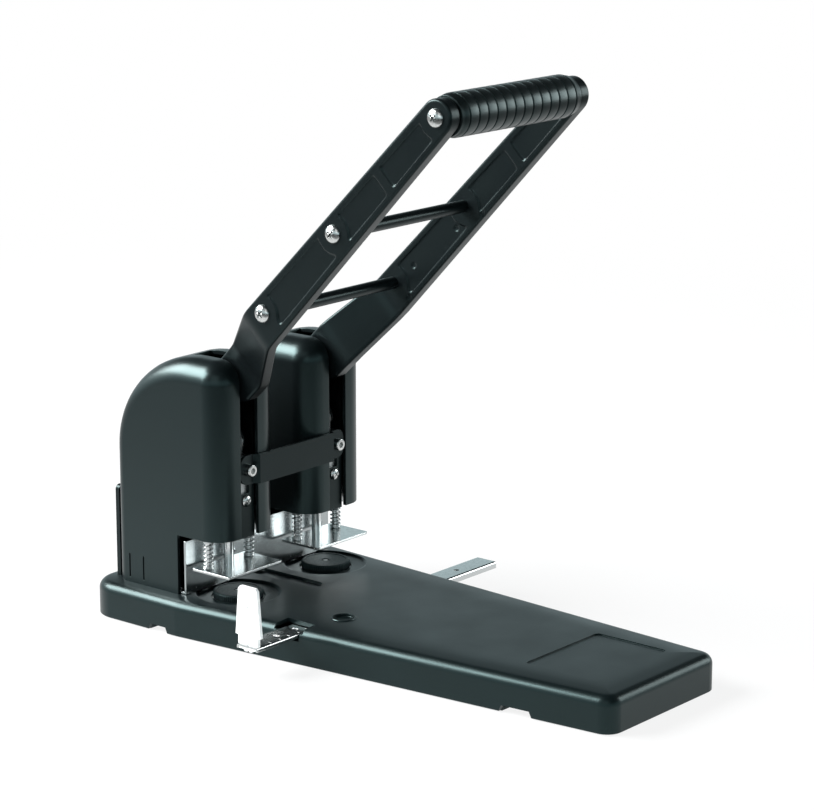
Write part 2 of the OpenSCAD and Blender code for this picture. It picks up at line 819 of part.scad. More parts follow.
// The blade snaps through a slot in the bar: its slit lets the barbed tab close up
module paper_stop() {
  x0 = stop_in - bar_left;
  tab = stop_tab_w / 2 - press_gap;
  under = bar_top - bar_sheet - press_gap;
  half = [for (w = [stop_tab_w - 2 * stop_barb, stop_neck_w, stop_wide_w, stop_top_w]) w / 2];
  outline = [
    [half[0] - stop_barb, bar_top - bar_flange + rest_gap], [tab + stop_barb, under - stop_barb],
    [tab + stop_barb, under], [tab, under], [tab, bar_top], [half[1], bar_top],
    [half[1], bar_top + stop_neck_h], [half[2], bar_top + stop_neck_h],
    [half[3], bar_top + stop_h - stop_corner], [half[3] - stop_corner, bar_top + stop_h]];
  color(white) translate([0, -bar_y, 0]) difference() {
    side_plate(x0, x0 + stop_t_blade)
      polygon(concat(outline, [for (i = [len(outline) - 1 : -1 : 0]) mirror_x(outline[i])]));
    box_between([x0 - cut, -stop_slot_w / 2, bar_top - bar_flange - cut],
      [x0 + stop_t_blade + cut, stop_slot_w / 2, bar_top + stop_h * 0.66]);
  }
}

// Lever

// How far the front edge of the arm lies below the arm's axis
function arm_front_at(s) = arm_front - arm_taper * (s - fold_high);

module arm_outline() {
  polygon([
    [-fold_low, arm_back], [-lever_len, arm_tip_r], [-lever_len, -arm_tip_r],
    [-fold_high, -arm_front], [-fold_low, -blade_front], [-tongue_end, -blade_front],
    [-tongue_front_s, -tongue_front], [0, -hub_r], [0, arm_back]]);
  translate([-lever_len, 0]) circle(r = arm_tip_r);
  circle(r = hub_r);
}

// The arm seen from above: tongue, blade, joggle and the long upper part
module arm_plan() {
  x_in = arm_gap / 2;
  polygon([
    [head_x - tongue_t / 2, hub_r + cut], [head_x - tongue_t / 2, -tongue_end],
    [head_x - blade_t / 2, -tongue_end], [head_x - blade_t / 2, -fold_low],
    [x_in, -fold_high], [x_in, -lever_len - arm_tip_r - cut],
    [arm_out, -lever_len - arm_tip_r - cut], [arm_out, -fold_high],
    [head_x + blade_t / 2, -fold_low], [head_x + blade_t / 2, -tongue_end],
    [head_x + tongue_t / 2, -tongue_end], [head_x + tongue_t / 2, hub_r + cut]]);
}

module arm_panels(x0, x1) {
  difference() {
    side_plate(x0, x1) for (ends = panel_ends) polygon([
      [-ends[0], panel_back], [-ends[1], panel_back],
      [-ends[1], panel_margin - arm_front_at(ends[1])], [-ends[0], panel_margin - arm_front_at(ends[0])]]);
    for (s = screw_s) x_rod(x0 - cut, x1 + cut, panel_boss_r, -s);
  }
}

module arm_right() {
  in_lever() difference() {
    union() {
      intersection() {
        side_plate(0, arm_out + cut) arm_outline();
        translate([0, 0, -2 * hub_r - blade_front]) linear_extrude(4 * hub_r + 2 * blade_front) arm_plan();
      }
      x_rod(head_x - hub_half, head_x + hub_half, hub_boss_r);
    }
    x_rod(head_x - hub_half - cut, head_x + hub_half + cut, axle_r + run_fit);
    arm_panels(arm_out - panel_depth, arm_out + cut);
    arm_panels(arm_gap / 2 - cut, arm_gap / 2 + panel_depth);
    for (s = screw_s) x_rod(arm_gap / 2 - cut, arm_out + cut, arm_screw_shank_r + press_gap, -s);
    rotate([lever_angle, 0, 0]) x_rod(head_x - tongue_t, head_x + tongue_t, link_pin_r + press_gap,
      link_pin_y - pivot_y, link_pin_z - pivot_z);
  }
}

module lever_arm_right() { color(black) arm_right(); }
module lever_arm_left() { color(black) mirror([1, 0, 0]) arm_right(); }

module grip_sleeve() {
  half = arm_gap / 2;
  span = arm_gap - 2 * grip_collar;
  color(soft_black) in_lever() difference() {
    x_rod(-half, half, grip_d / 2, -lever_len);
    for (i = [0 : grip_grooves])
      translate([-span / 2 + span * i / grip_grooves, -lever_len, 0]) rotate([0, 90, 0])
        rotate_extrude() polygon([
          [grip_d / 2 - grip_groove_depth, 0], [grip_d / 2 + cut, -grip_groove_w / 2 - cut],
          [grip_d / 2 + cut, grip_groove_w / 2 + cut]]);
    x_rod(-half - cut, half + cut, grip_core_r + press_gap, -lever_len);
  }
}

// A rod between the arms, tapped at both ends for the arm screws
module tapped_rod(s, r) {
  half = arm_gap / 2;
  color(black) in_lever() difference() {
    x_rod(-half, half, r, -s);
    for (e = sides) x_rod(e < 0 ? -half - cut : half - arm_screw_len + arm_t,
      e < 0 ? -half + arm_screw_len - arm_t : half + cut, arm_screw_shank_r + press_gap, -s);
  }
}

module grip_core() { tapped_rod(screw_s[2], grip_core_r); }
module cross_rod_upper() { tapped_rod(screw_s[1], rod_d / 2); }
module cross_rod_lower() { tapped_rod(screw_s[0], rod_d / 2); }

// Domed pan-head screw along X, its head outside x = 0
module pan_screw(head_r, head_h, shank_r, length) {
  rotate([0, 90, 0]) difference() {
    union() {
      rotate_extrude() polygon([
        [0, 0], [head_r, 0], [head_r, head_h * 0.45], [head_r * 0.86, head_h * 0.8],
        [head_r * 0.55, head_h], [0, head_h]]);
      translate([0, 0, -length]) cylinder(r = shank_r, h = length + cut);
    }
    for (a = [0, 90]) rotate([0, 0, a + 45])
      translate([-head_r * 0.5, -head_r * 0.11, head_h * 0.4]) cube([head_r, head_r * 0.22, head_h]);
  }
}

module arm_screws() {
  color(zinc) in_lever() for (e = sides, s = screw_s)
    translate([e * arm_out, -s, 0]) scale([e, 1, 1])
      pan_screw(arm_screw_r, arm_screw_h, arm_screw_shank_r, arm_screw_len - rest_gap);
}

// A headed pin across a head at (y, z)
module cross_pin(side, y, z) {
  at_head(side) color(steel) union() {
    x_rod(-link_out - rest_gap, link_out + rest_gap, link_pin_r, y, z);
    for (s = sides)
      x_rod(s < 0 ? -link_out - rest_gap - link_head_t : link_out + rest_gap,
        s < 0 ? -link_out - rest_gap : link_out + rest_gap + link_head_t, link_head_r, y, z);
  }
}

module link_pin_left() { cross_pin(-1, link_pin_y, link_pin_z); }
module link_pin_right() { cross_pin(1, link_pin_y, link_pin_z); }

// Links: two plates on each head, from the lever's crank pin down to the slider pin

module link_plate(x0, x1) {
  difference() {
    translate([0, link_pin_y, link_pin_z]) rotate([atan2(link_dz, link_dy), 0, 0])
      side_plate(x0, x1) polygon(stadium(norm([link_dy, link_dz]), link_eye_r));
    x_rod(x0 - cut, x1 + cut, link_pin_r + run_fit, link_pin_y, link_pin_z);
    translate([0, slider_pin_y, slider_pin_z]) side_plate(x0 - cut, x1 + cut)
      polygon(stadium(link_slot_len, link_slot_r));
  }
}

module links(side) {
  at_head(side) color(zinc) {
    link_plate(-link_out, -link_in);
    link_plate(link_in, link_out);
  }
}

module links_left() { links(-1); }
module links_right() { links(1); }

// Carriage

module slider(side) {
  at_head(side) color(zinc) difference() {
    union() {
      box_between([-slider_half, -slider_front, slider_low], [slider_half, slider_rear, slider_top]);
      box_between([-foot_half, -foot_depth, slider_low], [foot_half, foot_depth, foot_top]);
      box_between([-slider_half, slider_rear - cut, column_lug_low],
        [slider_half, column_y + column_lug_rear, column_lug_top]);
      box_between([-tongue_t / 2, slider_pin_y - slider_lug_r, slider_top - cut],
        [tongue_t / 2, slider_pin_y + slider_lug_r, slider_pin_z]);
      x_rod(-tongue_t / 2, tongue_t / 2, slider_lug_r, slider_pin_y, slider_pin_z);
    }
    x_rod(-tongue_t, tongue_t, link_pin_r + press_gap, slider_pin_y, slider_pin_z);
    translate([0, column_y, column_lug_low - cut])
      cylinder(r = bush_r + press_gap, h = column_lug_top - column_lug_low + 2 * cut);
    translate([0, 0, slider_low - cut]) cylinder(r = pin_d / 2 + press_gap, h = pin_head_z - slider_low + cut);
    for (s = sides) translate([s * spring_x, 0, slider_low - cut]) {
      cylinder(r = spring_d / 2 + rest_gap, h = spring_pocket + cut);
      cylinder(r = post_r + run_fit, h = foot_top - slider_low + 2 * cut);
    }
    y_rod(-slider_front - cut, -slider_front + strap_screw_len, screw_r + press_gap, 0, strap_z);
    y_rod(-slider_front - cut, -slider_front + strap_screw_h, screw_r + press_gap, 0, clamp_screw_z);
  }
}

module slider_left() { slider(-1); }
module slider_right() { slider(1); }

module guide_bush(side) {
  at_head(side) color(bronze) translate([0, column_y, column_lug_low]) difference() {
    cylinder(r = bush_r, h = column_lug_top - column_lug_low);
    translate([0, 0, -cut])
      cylinder(r = column_r + run_fit, h = column_lug_top - column_lug_low + 2 * cut);
  }
}

module guide_bush_left() { guide_bush(-1); }
module guide_bush_right() { guide_bush(1); }

module slider_pin_left() { cross_pin(-1, slider_pin_y, slider_pin_z); }
module slider_pin_right() { cross_pin(1, slider_pin_y, slider_pin_z); }

module pin_clamp(side) {
  at_head(side) color(black) difference() {
    front_plate(-slider_front - clamp_t, -slider_front) {
      translate([clamp_left, clamp_tongue_low])
        square([clamp_right - clamp_left, clamp_top - clamp_tongue_low]);
      translate([clamp_tongue_left, clamp_tongue_low])
        square([clamp_right - clamp_tongue_left, clamp_step - clamp_tongue_low]);
    }
    for (z = [strap_z, clamp_screw_z])
      y_rod(-slider_front - clamp_t - cut, -slider_front + cut, screw_r + press_gap, 0, z);
  }
}

module pin_clamp_left() { pin_clamp(-1); }
module pin_clamp_right() { pin_clamp(1); }

module clamp_screws() {
  color(zinc) for (side = sides) at_head(side)
    translate([0, -slider_front - clamp_t, clamp_screw_z]) rotate([0, 0, -90])
      pan_screw(clamp_screw_r, clamp_screw_h, screw_r, clamp_t + strap_screw_h - rest_gap);
}

// The strap: rounded ears in the slots, joggled out to pass in front of the heads
module cross_strap() {
  ear_y = -slider_front - clamp_t - strap_t;
  out_y = -head_front - strap_clear;
  strap_bends = [[0, out_y], [head_x - strap_bend_in, out_y],
    [head_x - strap_bend_out, ear_y + strap_t], [head_x + strap_ear, ear_y + strap_t]];
  color(black) difference() {
    intersection() {
      translate([0, 0, strap_z - strap_h / 2]) linear_extrude(strap_h) polygon(concat(
        [for (i = [0 : 3]) strap_bends[i] + [0, -strap_t]], [for (i = [3 : -1 : 0]) strap_bends[i]],
        [for (i = [0 : 3]) mirror_x(strap_bends[i])],
        [for (i = [3 : -1 : 0]) mirror_x(strap_bends[i] + [0, -strap_t])]));
      front_plate(-2 * head_front, 0) union() {
        translate([-head_x, strap_z - strap_h / 2]) square([2 * head_x, strap_h]);
        for (s = sides, e = sides)
          translate([s * (head_x + strap_ear - strap_ear_r), strap_z + e * (strap_h / 2 - strap_ear_r)])
            circle(r = strap_ear_r);
        translate([-head_x - strap_ear, strap_z - strap_h / 2 + strap_ear_r])
          square([2 * head_x + 2 * strap_ear, strap_h - 2 * strap_ear_r]);
      }
    }
    for (s = sides) y_rod(ear_y - cut, ear_y + strap_t + cut, screw_r + press_gap, s * head_x, strap_z);
  }
}

module strap_screws() {
  ear_y = -slider_front - clamp_t - strap_t;
  color(zinc) for (s = sides) difference() {
    union() {
      y_rod(ear_y - strap_screw_h, ear_y, strap_screw_r, s * head_x, strap_z);
      y_rod(ear_y - cut, -slider_front + strap_screw_len - rest_gap, screw_r, s * head_x, strap_z);
    }
    translate([s * head_x, ear_y - strap_screw_h - cut, strap_z]) rotate([-90, 0, 0])
      cylinder(r = strap_socket_r, h = strap_socket_depth + cut, $fn = 6);
  }
}

module punch_pin(side) {
  at_head(side) color(steel) translate([0, 0, pin_tip_z]) difference() {
    cylinder(r = pin_d / 2, h = pin_head_z - pin_tip_z);
    translate([0, 0, -cut]) cylinder(r = pin_bore_d / 2, h = slider_low - pin_tip_z + cut);
    translate([0, 0, -press_gap]) cylinder(
      r1 = pin_d / 2 - press_gap, r2 = pin_bore_d / 2, h = pin_d / 2 - pin_bore_d / 2);
  }
}

module punch_pin_left() { punch_pin(-1); }
module punch_pin_right() { punch_pin(1); }

module return_spring(side) {
  low = chassis_top + rest_gap;
  at_head(side) color(steel) translate([0, column_y, low])
    coil(return_mean_r, column_lug_low - rest_gap - low, return_wire, return_curls);
}

module return_spring_left() { return_spring(-1); }
module return_spring_right() { return_spring(1); }

// Presser plates with their guide posts

module presser(side) {
  x0 = plate_w / 2 - plate_corner_r;
  at_head(side) color(chrome) difference() {
    union() {
      translate([0, 0, plate_low]) linear_extrude(plate_t) union() {
        for (s = sides, y = [plate_rear - plate_corner_r, plate_rear - plate_depth + plate_corner_r])
          translate([s * x0, y]) circle(r = plate_corner_r);
        translate([-plate_w / 2, plate_rear - plate_depth + plate_corner_r])
          square([plate_w, plate_depth - 2 * plate_corner_r]);
        translate([-x0, plate_rear - plate_depth]) square([2 * x0, plate_depth]);
      }
      for (s = sides) translate([s * spring_x, 0, plate_low]) difference() {
        cylinder(r = post_r, h = post_top - plate_low);
        translate([0, 0, post_clip_z - plate_low]) difference() {
          cylinder(r = post_r + cut, h = post_clip_t);
          translate([0, 0, -cut]) cylinder(r = post_r * 0.7, h = post_clip_t + 2 * cut);
        }
      }
    }
    translate([0, 0, plate_low - cut]) cylinder(r = pin_d / 2 + run_fit, h = plate_t + 2 * cut);
  }
}

module presser_left() { presser(-1); }
module presser_right() { presser(1); }

module presser_clips(side) {
  at_head(side) color(steel) for (s = sides)
    translate([s * spring_x, 0, post_clip_z + press_gap]) difference() {
      cylinder(r = post_clip_r, h = post_clip_t - 2 * press_gap);
      translate([0, 0, -cut]) cylinder(r = post_r * 0.7 + press_gap, h = post_clip_t + 2 * cut);
      translate([0, -post_r * 0.6, -cut]) cube([post_clip_r + cut, post_r * 1.2, post_clip_t + 2 * cut]);
    }
}

module presser_clips_left() { presser_clips(-1); }
module presser_clips_right() { presser_clips(1); }

module presser_springs(side) {
  at_head(side) color(steel) for (s = sides)
    translate([s * spring_x, 0, plate_top + press_gap])
      coil((spring_d - spring_wire) / 2, slider_low + spring_pocket - plate_top - 2 * press_gap,
        spring_wire, spring_curls);
}

module presser_springs_left() { presser_springs(-1); }
module presser_springs_right() { presser_springs(1); }

// Places that follow from the sizes above
foot_places = [for (i = [0 : 2]) [base_half(foot_ys[i]) - foot_insets[i], foot_ys[i]]];
screw_places = [for (i = [0 : 2]) [base_half(screw_ys[i]) - screw_insets[i], screw_ys[i]]];
retainer_top = bar_top - bar_flange - rest_gap;
bar_boss_ys = [-bar_y - bar_w / 2 - retainer_over / 2, -bar_y + bar_w / 2 + retainer_over / 2];
rear_screw_z = chassis_top - chassis_flange / 2 - chassis_t / 2;
frame_screw_x = cheek_out + frame_foot_w / 2;
frame_screw_ys = [frame_foot_y0 + frame_screw_head_r + cut, frame_foot_y1 - frame_screw_head_r - cut];
clip_x = cheek_out + clip_t;
strap_screw_len = 8;
post_clip_z = foot_top + rest_gap;
stop_half = head_x + head_w / 2 - stop_end_inset;
stop_top = head_skirt_z - stop_gap_below_skirt;
stop_outline = [[-stop_half, base_h], [stop_half, base_h], [stop_half, stop_top], [-stop_half, stop_top]];

echo(presser_spring_gap = coil_gap((spring_d - spring_wire) / 2,
  slider_low + spring_pocket - plate_top - 2 * press_gap, spring_wire, spring_curls));
echo(return_spring_gap = coil_gap(return_mean_r, column_lug_low - chassis_top - 2 * rest_gap,
  return_wire, return_curls));

base_cover();
bottom_tray();
rubber_feet();
base_screws();
chassis_plate();
back_stop();
rear_plate();
rear_plate_screws();
head_casing_left();
head_casing_right();
head_frame_left();
head_frame_right();
frame_screws();
pivot_axle_left();
pivot_axle_right();
axle_clips();
guide_column_left();
guide_column_right();
disc_pivot_left();
disc_pivot_right();
bar_retainer();
retainer_screws();
bar_leaf_spring();
cutting_disc_left();
cutting_disc_right();
guide_bar();
paper_stop();
lever_arm_left();
lever_arm_right();
grip_sleeve();
grip_core();
cross_rod_upper();
cross_rod_lower();
arm_screws();
link_pin_left();
link_pin_right();
links_left();
links_right();
slider_left();
slider_right();
guide_bush_left();
guide_bush_right();
slider_pin_left();
slider_pin_right();
pin_clamp_left();
pin_clamp_right();
clamp_screws();
cross_strap();
strap_screws();
punch_pin_left();
punch_pin_right();
return_spring_left();
return_spring_right();
presser_left();
presser_right();
presser_clips_left();
presser_clips_right();
presser_springs_left();
presser_springs_right();
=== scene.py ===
"""Heavy-duty two-hole lever punch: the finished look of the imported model, in metres.

Pieces are drawn in millimetres in the object's own frame: +X to the right, +Y to the rear,
+Z up, with the origin on the table midway between the two punch pins.
"""

import math

import bmesh
import bpy
from mathutils import Matrix, Vector


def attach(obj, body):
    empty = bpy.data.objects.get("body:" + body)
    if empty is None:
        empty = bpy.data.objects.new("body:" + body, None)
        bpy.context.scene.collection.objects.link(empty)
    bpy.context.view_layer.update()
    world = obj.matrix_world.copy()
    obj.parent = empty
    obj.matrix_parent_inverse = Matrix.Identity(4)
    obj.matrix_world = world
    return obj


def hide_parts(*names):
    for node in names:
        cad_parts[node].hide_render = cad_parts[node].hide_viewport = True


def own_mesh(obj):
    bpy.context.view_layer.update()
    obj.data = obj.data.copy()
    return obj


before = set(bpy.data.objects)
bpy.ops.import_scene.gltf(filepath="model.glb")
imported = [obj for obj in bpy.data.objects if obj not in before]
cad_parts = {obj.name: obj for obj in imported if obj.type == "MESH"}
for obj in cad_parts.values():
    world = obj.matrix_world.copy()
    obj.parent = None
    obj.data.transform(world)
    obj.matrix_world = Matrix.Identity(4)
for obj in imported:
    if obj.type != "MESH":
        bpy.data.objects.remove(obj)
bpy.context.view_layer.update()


# Camera
# The photograph was taken with a long lens from the front left, a little above the punch.

def placed(name, data):
    """A new object of the scene that holds this data."""
    thing = bpy.data.objects.new(name, data)
    bpy.context.scene.collection.objects.link(thing)
    return thing


camera_data = bpy.data.cameras.new("camera")
camera_data.sensor_width = 36.0
camera_data.lens = 128.49
camera_data.clip_end = 40.0
camera = placed("camera", camera_data)
camera.location = (-1.2665, -1.1568, 0.5528)
camera.rotation_euler = (math.radians(90 - 13.86), 0, math.radians(-50.336))
bpy.context.scene.camera = camera


# Studio
# White paper in a dark room. A large softbox at the rear left lights the bright lines along the
# rounded edges, a smaller one on the right the grip, and a weak wide one fills from the front.

def srgb(code):
    """The linear colour of an sRGB hex value."""
    parts = [int(code[i:i + 2], 16) / 255 for i in (0, 2, 4)]
    return [c / 12.92 if c <= 0.04045 else ((c + 0.055) / 1.055) ** 2.4 for c in parts] + [1.0]


def add(tree, kind, inputs=None, **settings):
    """One node. Inputs take a value or another node's output; settings are its properties."""
    node = tree.nodes.new(kind)
    for key, value in settings.items():
        setattr(node, key, value)
    for key, value in (inputs or {}).items():
        if isinstance(value, bpy.types.NodeSocket):
            tree.links.new(value, node.inputs[key])
        else:
            node.inputs[key].default_value = value
    return node


world = bpy.data.worlds.new("studio")
bpy.context.scene.world = world
world.use_nodes = True
tree = world.node_tree
tree.nodes.clear()
# The paper rises behind the punch, and above it the room is dark. A camera sees white all round
path = add(tree, "ShaderNodeLightPath")
way = add(tree, "ShaderNodeTexCoord")
height = add(tree, "ShaderNodeSeparateXYZ", {0: way.outputs["Generated"]})
level = add(tree, "ShaderNodeMapRange", {"Value": height.outputs["Z"], "From Min": 0.29,
                                         "From Max": 0.41, "To Min": 0.98, "To Max": 0.08},
            interpolation_type="SMOOTHSTEP")
level = add(tree, "ShaderNodeMath", {0: level.outputs[0], 1: path.outputs["Is Camera Ray"]},
            operation="MAXIMUM")
shade = add(tree, "ShaderNodeMix", {"Factor": path.outputs["Is Camera Ray"],
                                    "A": srgb("D6EAEE"), "B": srgb("FFFFFF")}, data_type="RGBA")
room = add(tree, "ShaderNodeBackground", {"Color": shade.outputs["Result"],
                                          "Strength": level.outputs[0]})
add(tree, "ShaderNodeOutputWorld", {"Surface": room.outputs[0]})

floor_half = 9.0
floor_z = -0.0002
floor_mesh = bpy.data.meshes.new("floor")
floor_mesh.from_pydata([(x * floor_half, y * floor_half, floor_z)
                        for x, y in ((-1, -1), (1, -1), (1, 1), (-1, 1))], [], [(0, 1, 2, 3)])
floor = placed("floor", floor_mesh)
floor_paper = bpy.data.materials.new("white background paper")
floor_paper.use_nodes = True
tree = floor_paper.node_tree
tree.nodes.clear()
spot = add(tree, "ShaderNodeTexCoord")
# Paper near the punch takes a soft shadow, and further off it is the plain white of the backdrop,
# for the camera and for what a mirror or a clear piece shows of it
away = add(tree, "ShaderNodeVectorMath", {0: spot.outputs["Object"]}, operation="LENGTH")
fade = add(tree, "ShaderNodeMapRange", {"Value": away.outputs["Value"], "From Min": 0.3,
                                        "From Max": 1.3, "To Min": 0.86, "To Max": 1.0},
           interpolation_type="SMOOTHSTEP")
path = add(tree, "ShaderNodeLightPath")
seen = add(tree, "ShaderNodeMath", {0: path.outputs["Is Camera Ray"],
                                    1: path.outputs["Is Glossy Ray"]}, operation="MAXIMUM")
seen = add(tree, "ShaderNodeMath", {0: seen.outputs[0], 1: path.outputs["Is Transmission Ray"]},
           operation="MAXIMUM")
share = add(tree, "ShaderNodeMath", {0: fade.outputs[0], 1: seen.outputs[0]},
            operation="MULTIPLY")
# A gloss sees the paper end just outside the photograph, where the room is dim. X runs away from
# the photograph's viewpoint here, so Y over X is how far to its left a spot lies
seen_from = add(tree, "ShaderNodeMapping", {"Vector": spot.outputs["Object"],
                                            "Location": (1.713, 0.082, 0.0),
                                            "Rotation": (0.0, 0.0, math.radians(-39.664))})
along = add(tree, "ShaderNodeSeparateXYZ", {0: seen_from.outputs[0]})
slant = add(tree, "ShaderNodeMath", {0: along.outputs["Y"], 1: along.outputs["X"]},
            operation="DIVIDE").outputs[0]
white = 1.0
for measure, first, last, first_level, last_level in (
        (slant, 0.17, 0.5, 1.0, 0.45),
        (slant, -0.42, -0.17, 0.3, 1.0),
        (along.outputs["X"], 1.3, 1.375, 0.12, 1.0)):
    dim = add(tree, "ShaderNodeMapRange", {"Value": measure, "From Min": first, "From Max": last,
                                           "To Min": first_level, "To Max": last_level},
              interpolation_type="SMOOTHSTEP")
    white = add(tree, "ShaderNodeMath", {0: white, 1: dim.outputs[0]},
                operation="MULTIPLY").outputs[0]
white = add(tree, "ShaderNodeMath", {0: white, 1: path.outputs["Is Camera Ray"]},
            operation="MAXIMUM")
paper = add(tree, "ShaderNodeBsdfDiffuse", {"Color": srgb("F2F4F4")})
glow = add(tree, "ShaderNodeEmission", {"Color": srgb("FFFFFF"), "Strength": white.outputs[0]})
mixed = add(tree, "ShaderNodeMixShader", {0: share.outputs[0], 1: paper.outputs[0],
                                          2: glow.outputs[0]})
add(tree, "ShaderNodeOutputMaterial", {"Surface": mixed.outputs[0]})
floor_mesh.materials.append(floor_paper)

for name, place, aim, width, height, watts in (
        ("rear left softbox", (-0.9, 1.24, 1.22), (0.0, -0.05, 0.08), 1.45, 0.9, 104.0),
        ("right softbox", (1.15, -0.85, 0.55), (0.0, -0.05, 0.1), 0.5, 0.6, 6.0),
        ("camera side", (-1.3, -0.9, 1.1), (0.0, -0.05, 0.1), 1.2, 1.2, 3.5)):
    lamp_data = bpy.data.lights.new(name, "AREA")
    lamp_data.shape = "RECTANGLE"
    lamp_data.size = width
    lamp_data.size_y = height
    lamp_data.energy = watts
    lamp = placed(name, lamp_data)
    lamp.location = place
    lamp.rotation_euler = (Vector(aim) - Vector(place)).to_track_quat("-Z", "Y").to_euler()
bpy.context.scene.view_settings.view_transform = "Standard"


# Base cover
# One thin-walled moulding in black ABS, tapered to the front, with a spark-eroded grain on its
# top. It carries the dished wells for the cutting discs and is screwed on from below.

def new_object(name, bm):
    """A loose object from a bmesh drawn in millimetres."""
    bmesh.ops.recalc_face_normals(bm, faces=bm.faces)
    mesh = bpy.data.meshes.new(name)
    bm.to_mesh(mesh)
    bm.free()
    return placed(name, mesh)


def settle(piece):
    """The modifiers' result becomes the piece's own mesh."""
    bpy.context.view_layer.update()
    graph = bpy.context.evaluated_depsgraph_get()
    mesh = bpy.data.meshes.new_from_object(piece.evaluated_get(graph))
    piece.modifiers.clear()
    piece.data = mesh


def solid(name, rings, bored=False, merge=0.0):
    """Walls between rings of points. Flat ends close it, or a bore from the last ring back to
    the first."""
    bm = bmesh.new()
    rows = [[bm.verts.new(p) for p in ring] for ring in rings]
    count = len(rows[0])
    for low, high in zip(rows, rows[1:] + rows[:1] if bored else rows[1:]):
        for i in range(count):
            k = (i + 1) % count
            bm.faces.new((low[i], low[k], high[k], high[i]))
    if not bored:
        bm.faces.new(rows[0])
        bm.faces.new(rows[-1])
    if merge:
        bmesh.ops.remove_doubles(bm, verts=bm.verts, dist=merge)
    return new_object(name, bm)


def block(one, other):
    """A plain box between two corners, to cut with or for a mark."""
    (x0, x1), (y0, y1), (z0, z1) = (sorted(pair) for pair in zip(one, other))
    return solid("block", [[(x0, y0, z), (x1, y0, z), (x1, y1, z), (x0, y1, z)]
                           for z in (z0, z1)])


def turned(profile, place, axis="Z", steps=72, bored=False):
    """A turned solid: profile is (radius, height) along the axis from its place."""
    rings = []
    for radius, height in profile:
        ring = []
        for i in range(steps):
            a = 2 * math.pi * i / steps
            u, v = radius * math.cos(a), radius * math.sin(a)
            ring.append(Vector((height, u, v) if axis == "X" else (u, v, height)) + Vector(place))
        rings.append(ring)
    return solid("turned", rings, bored)


def cut(piece, *cutters):
    """Cuts the other solids out of a piece."""
    for cutter in cutters:
        step = piece.modifiers.new("cut", "BOOLEAN")
        step.operation = "DIFFERENCE"
        step.solver = "MANIFOLD"
        step.object = cutter
    settle(piece)
    for cutter in cutters:
        bpy.data.objects.remove(cutter)


def joined(name, *pieces):
    """Several loose objects become one."""
    bm = bmesh.new()
    for piece in pieces:
        bm.from_mesh(piece.data)
        bpy.data.objects.remove(piece)
    mesh = bpy.data.meshes.new(name)
    bm.to_mesh(mesh)
    bm.free()
    return placed(name, mesh)


def rounded(piece, width, segments=2):
    """Rounds the piece's edges, wherever two faces meet at more than 38 degrees."""
    soft = piece.modifiers.new("edge", "BEVEL")
    soft.width = width
    soft.segments = segments
    soft.limit_method = "ANGLE"
    soft.angle_limit = math.radians(38)
    settle(piece)


def finished(piece, name, body, material, replaces=(), edge=0.0, rounds=2, sharp=34,
             flat=None):
    """Rounds the edges by so many millimetres, brings the piece to metres and seats it. A flat
    top, given by its height, is kept out of the smoothing of what it borders on."""
    piece.name = name
    if edge:
        rounded(piece, edge, rounds)
    piece.data.shade_smooth()
    piece.data.set_sharp_from_angle(angle=math.radians(sharp))
    if flat:
        bm = bmesh.new()
        bm.from_mesh(piece.data)
        level = {f: all(abs(v.co.z - flat) < 0.001 for v in f.verts) for f in bm.faces}
        for e in bm.edges:
            if len(e.link_faces) == 2 and level[e.link_faces[0]] != level[e.link_faces[1]]:
                e.smooth = False
        bm.to_mesh(piece.data)
        bm.free()
    weigh = piece.modifiers.new("normals", "WEIGHTED_NORMAL")
    weigh.keep_sharp = True
    settle(piece)
    piece.data.transform(Matrix.Scale(0.001, 4))
    piece.data.materials.clear()
    piece.data.materials.append(material)
    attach(piece, body)
    if replaces:
        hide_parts(*replaces)
    return piece


def tangent_outline(circles, step=6):
    """The outer hull of circles (x, y, radius), as pairs of a circle and a direction."""
    def farthest(angle):
        return max(circles, key=lambda c: c[0] * math.cos(angle) + c[1] * math.sin(angle) + c[2])

    points = []
    for i in range(360 // step):
        low, high = math.radians(i * step + 0.5), math.radians((i + 1) * step + 0.5)
        here, there = farthest(low), farthest(high)
        points.append((here, low))
        if there is not here:
            for _ in range(30):
                middle = (low + high) / 2
                if farthest(middle) is here:
                    low = middle
                else:
                    high = middle
            points += [(here, low), (there, high)]
    return points


def outline_at(points, inset, z):
    """The outline drawn in by so much, at a height."""
    return [Vector((c[0] + (c[2] - inset) * math.cos(a), c[1] + (c[2] - inset) * math.sin(a), z))
            for c, a in points]


def quarter(steps=8):
    """Sine and cosine round a quarter turn, for a rounded edge."""
    return [(math.sin(math.pi * i / 2 / steps), math.cos(math.pi * i / 2 / steps))
            for i in range(steps + 1)]


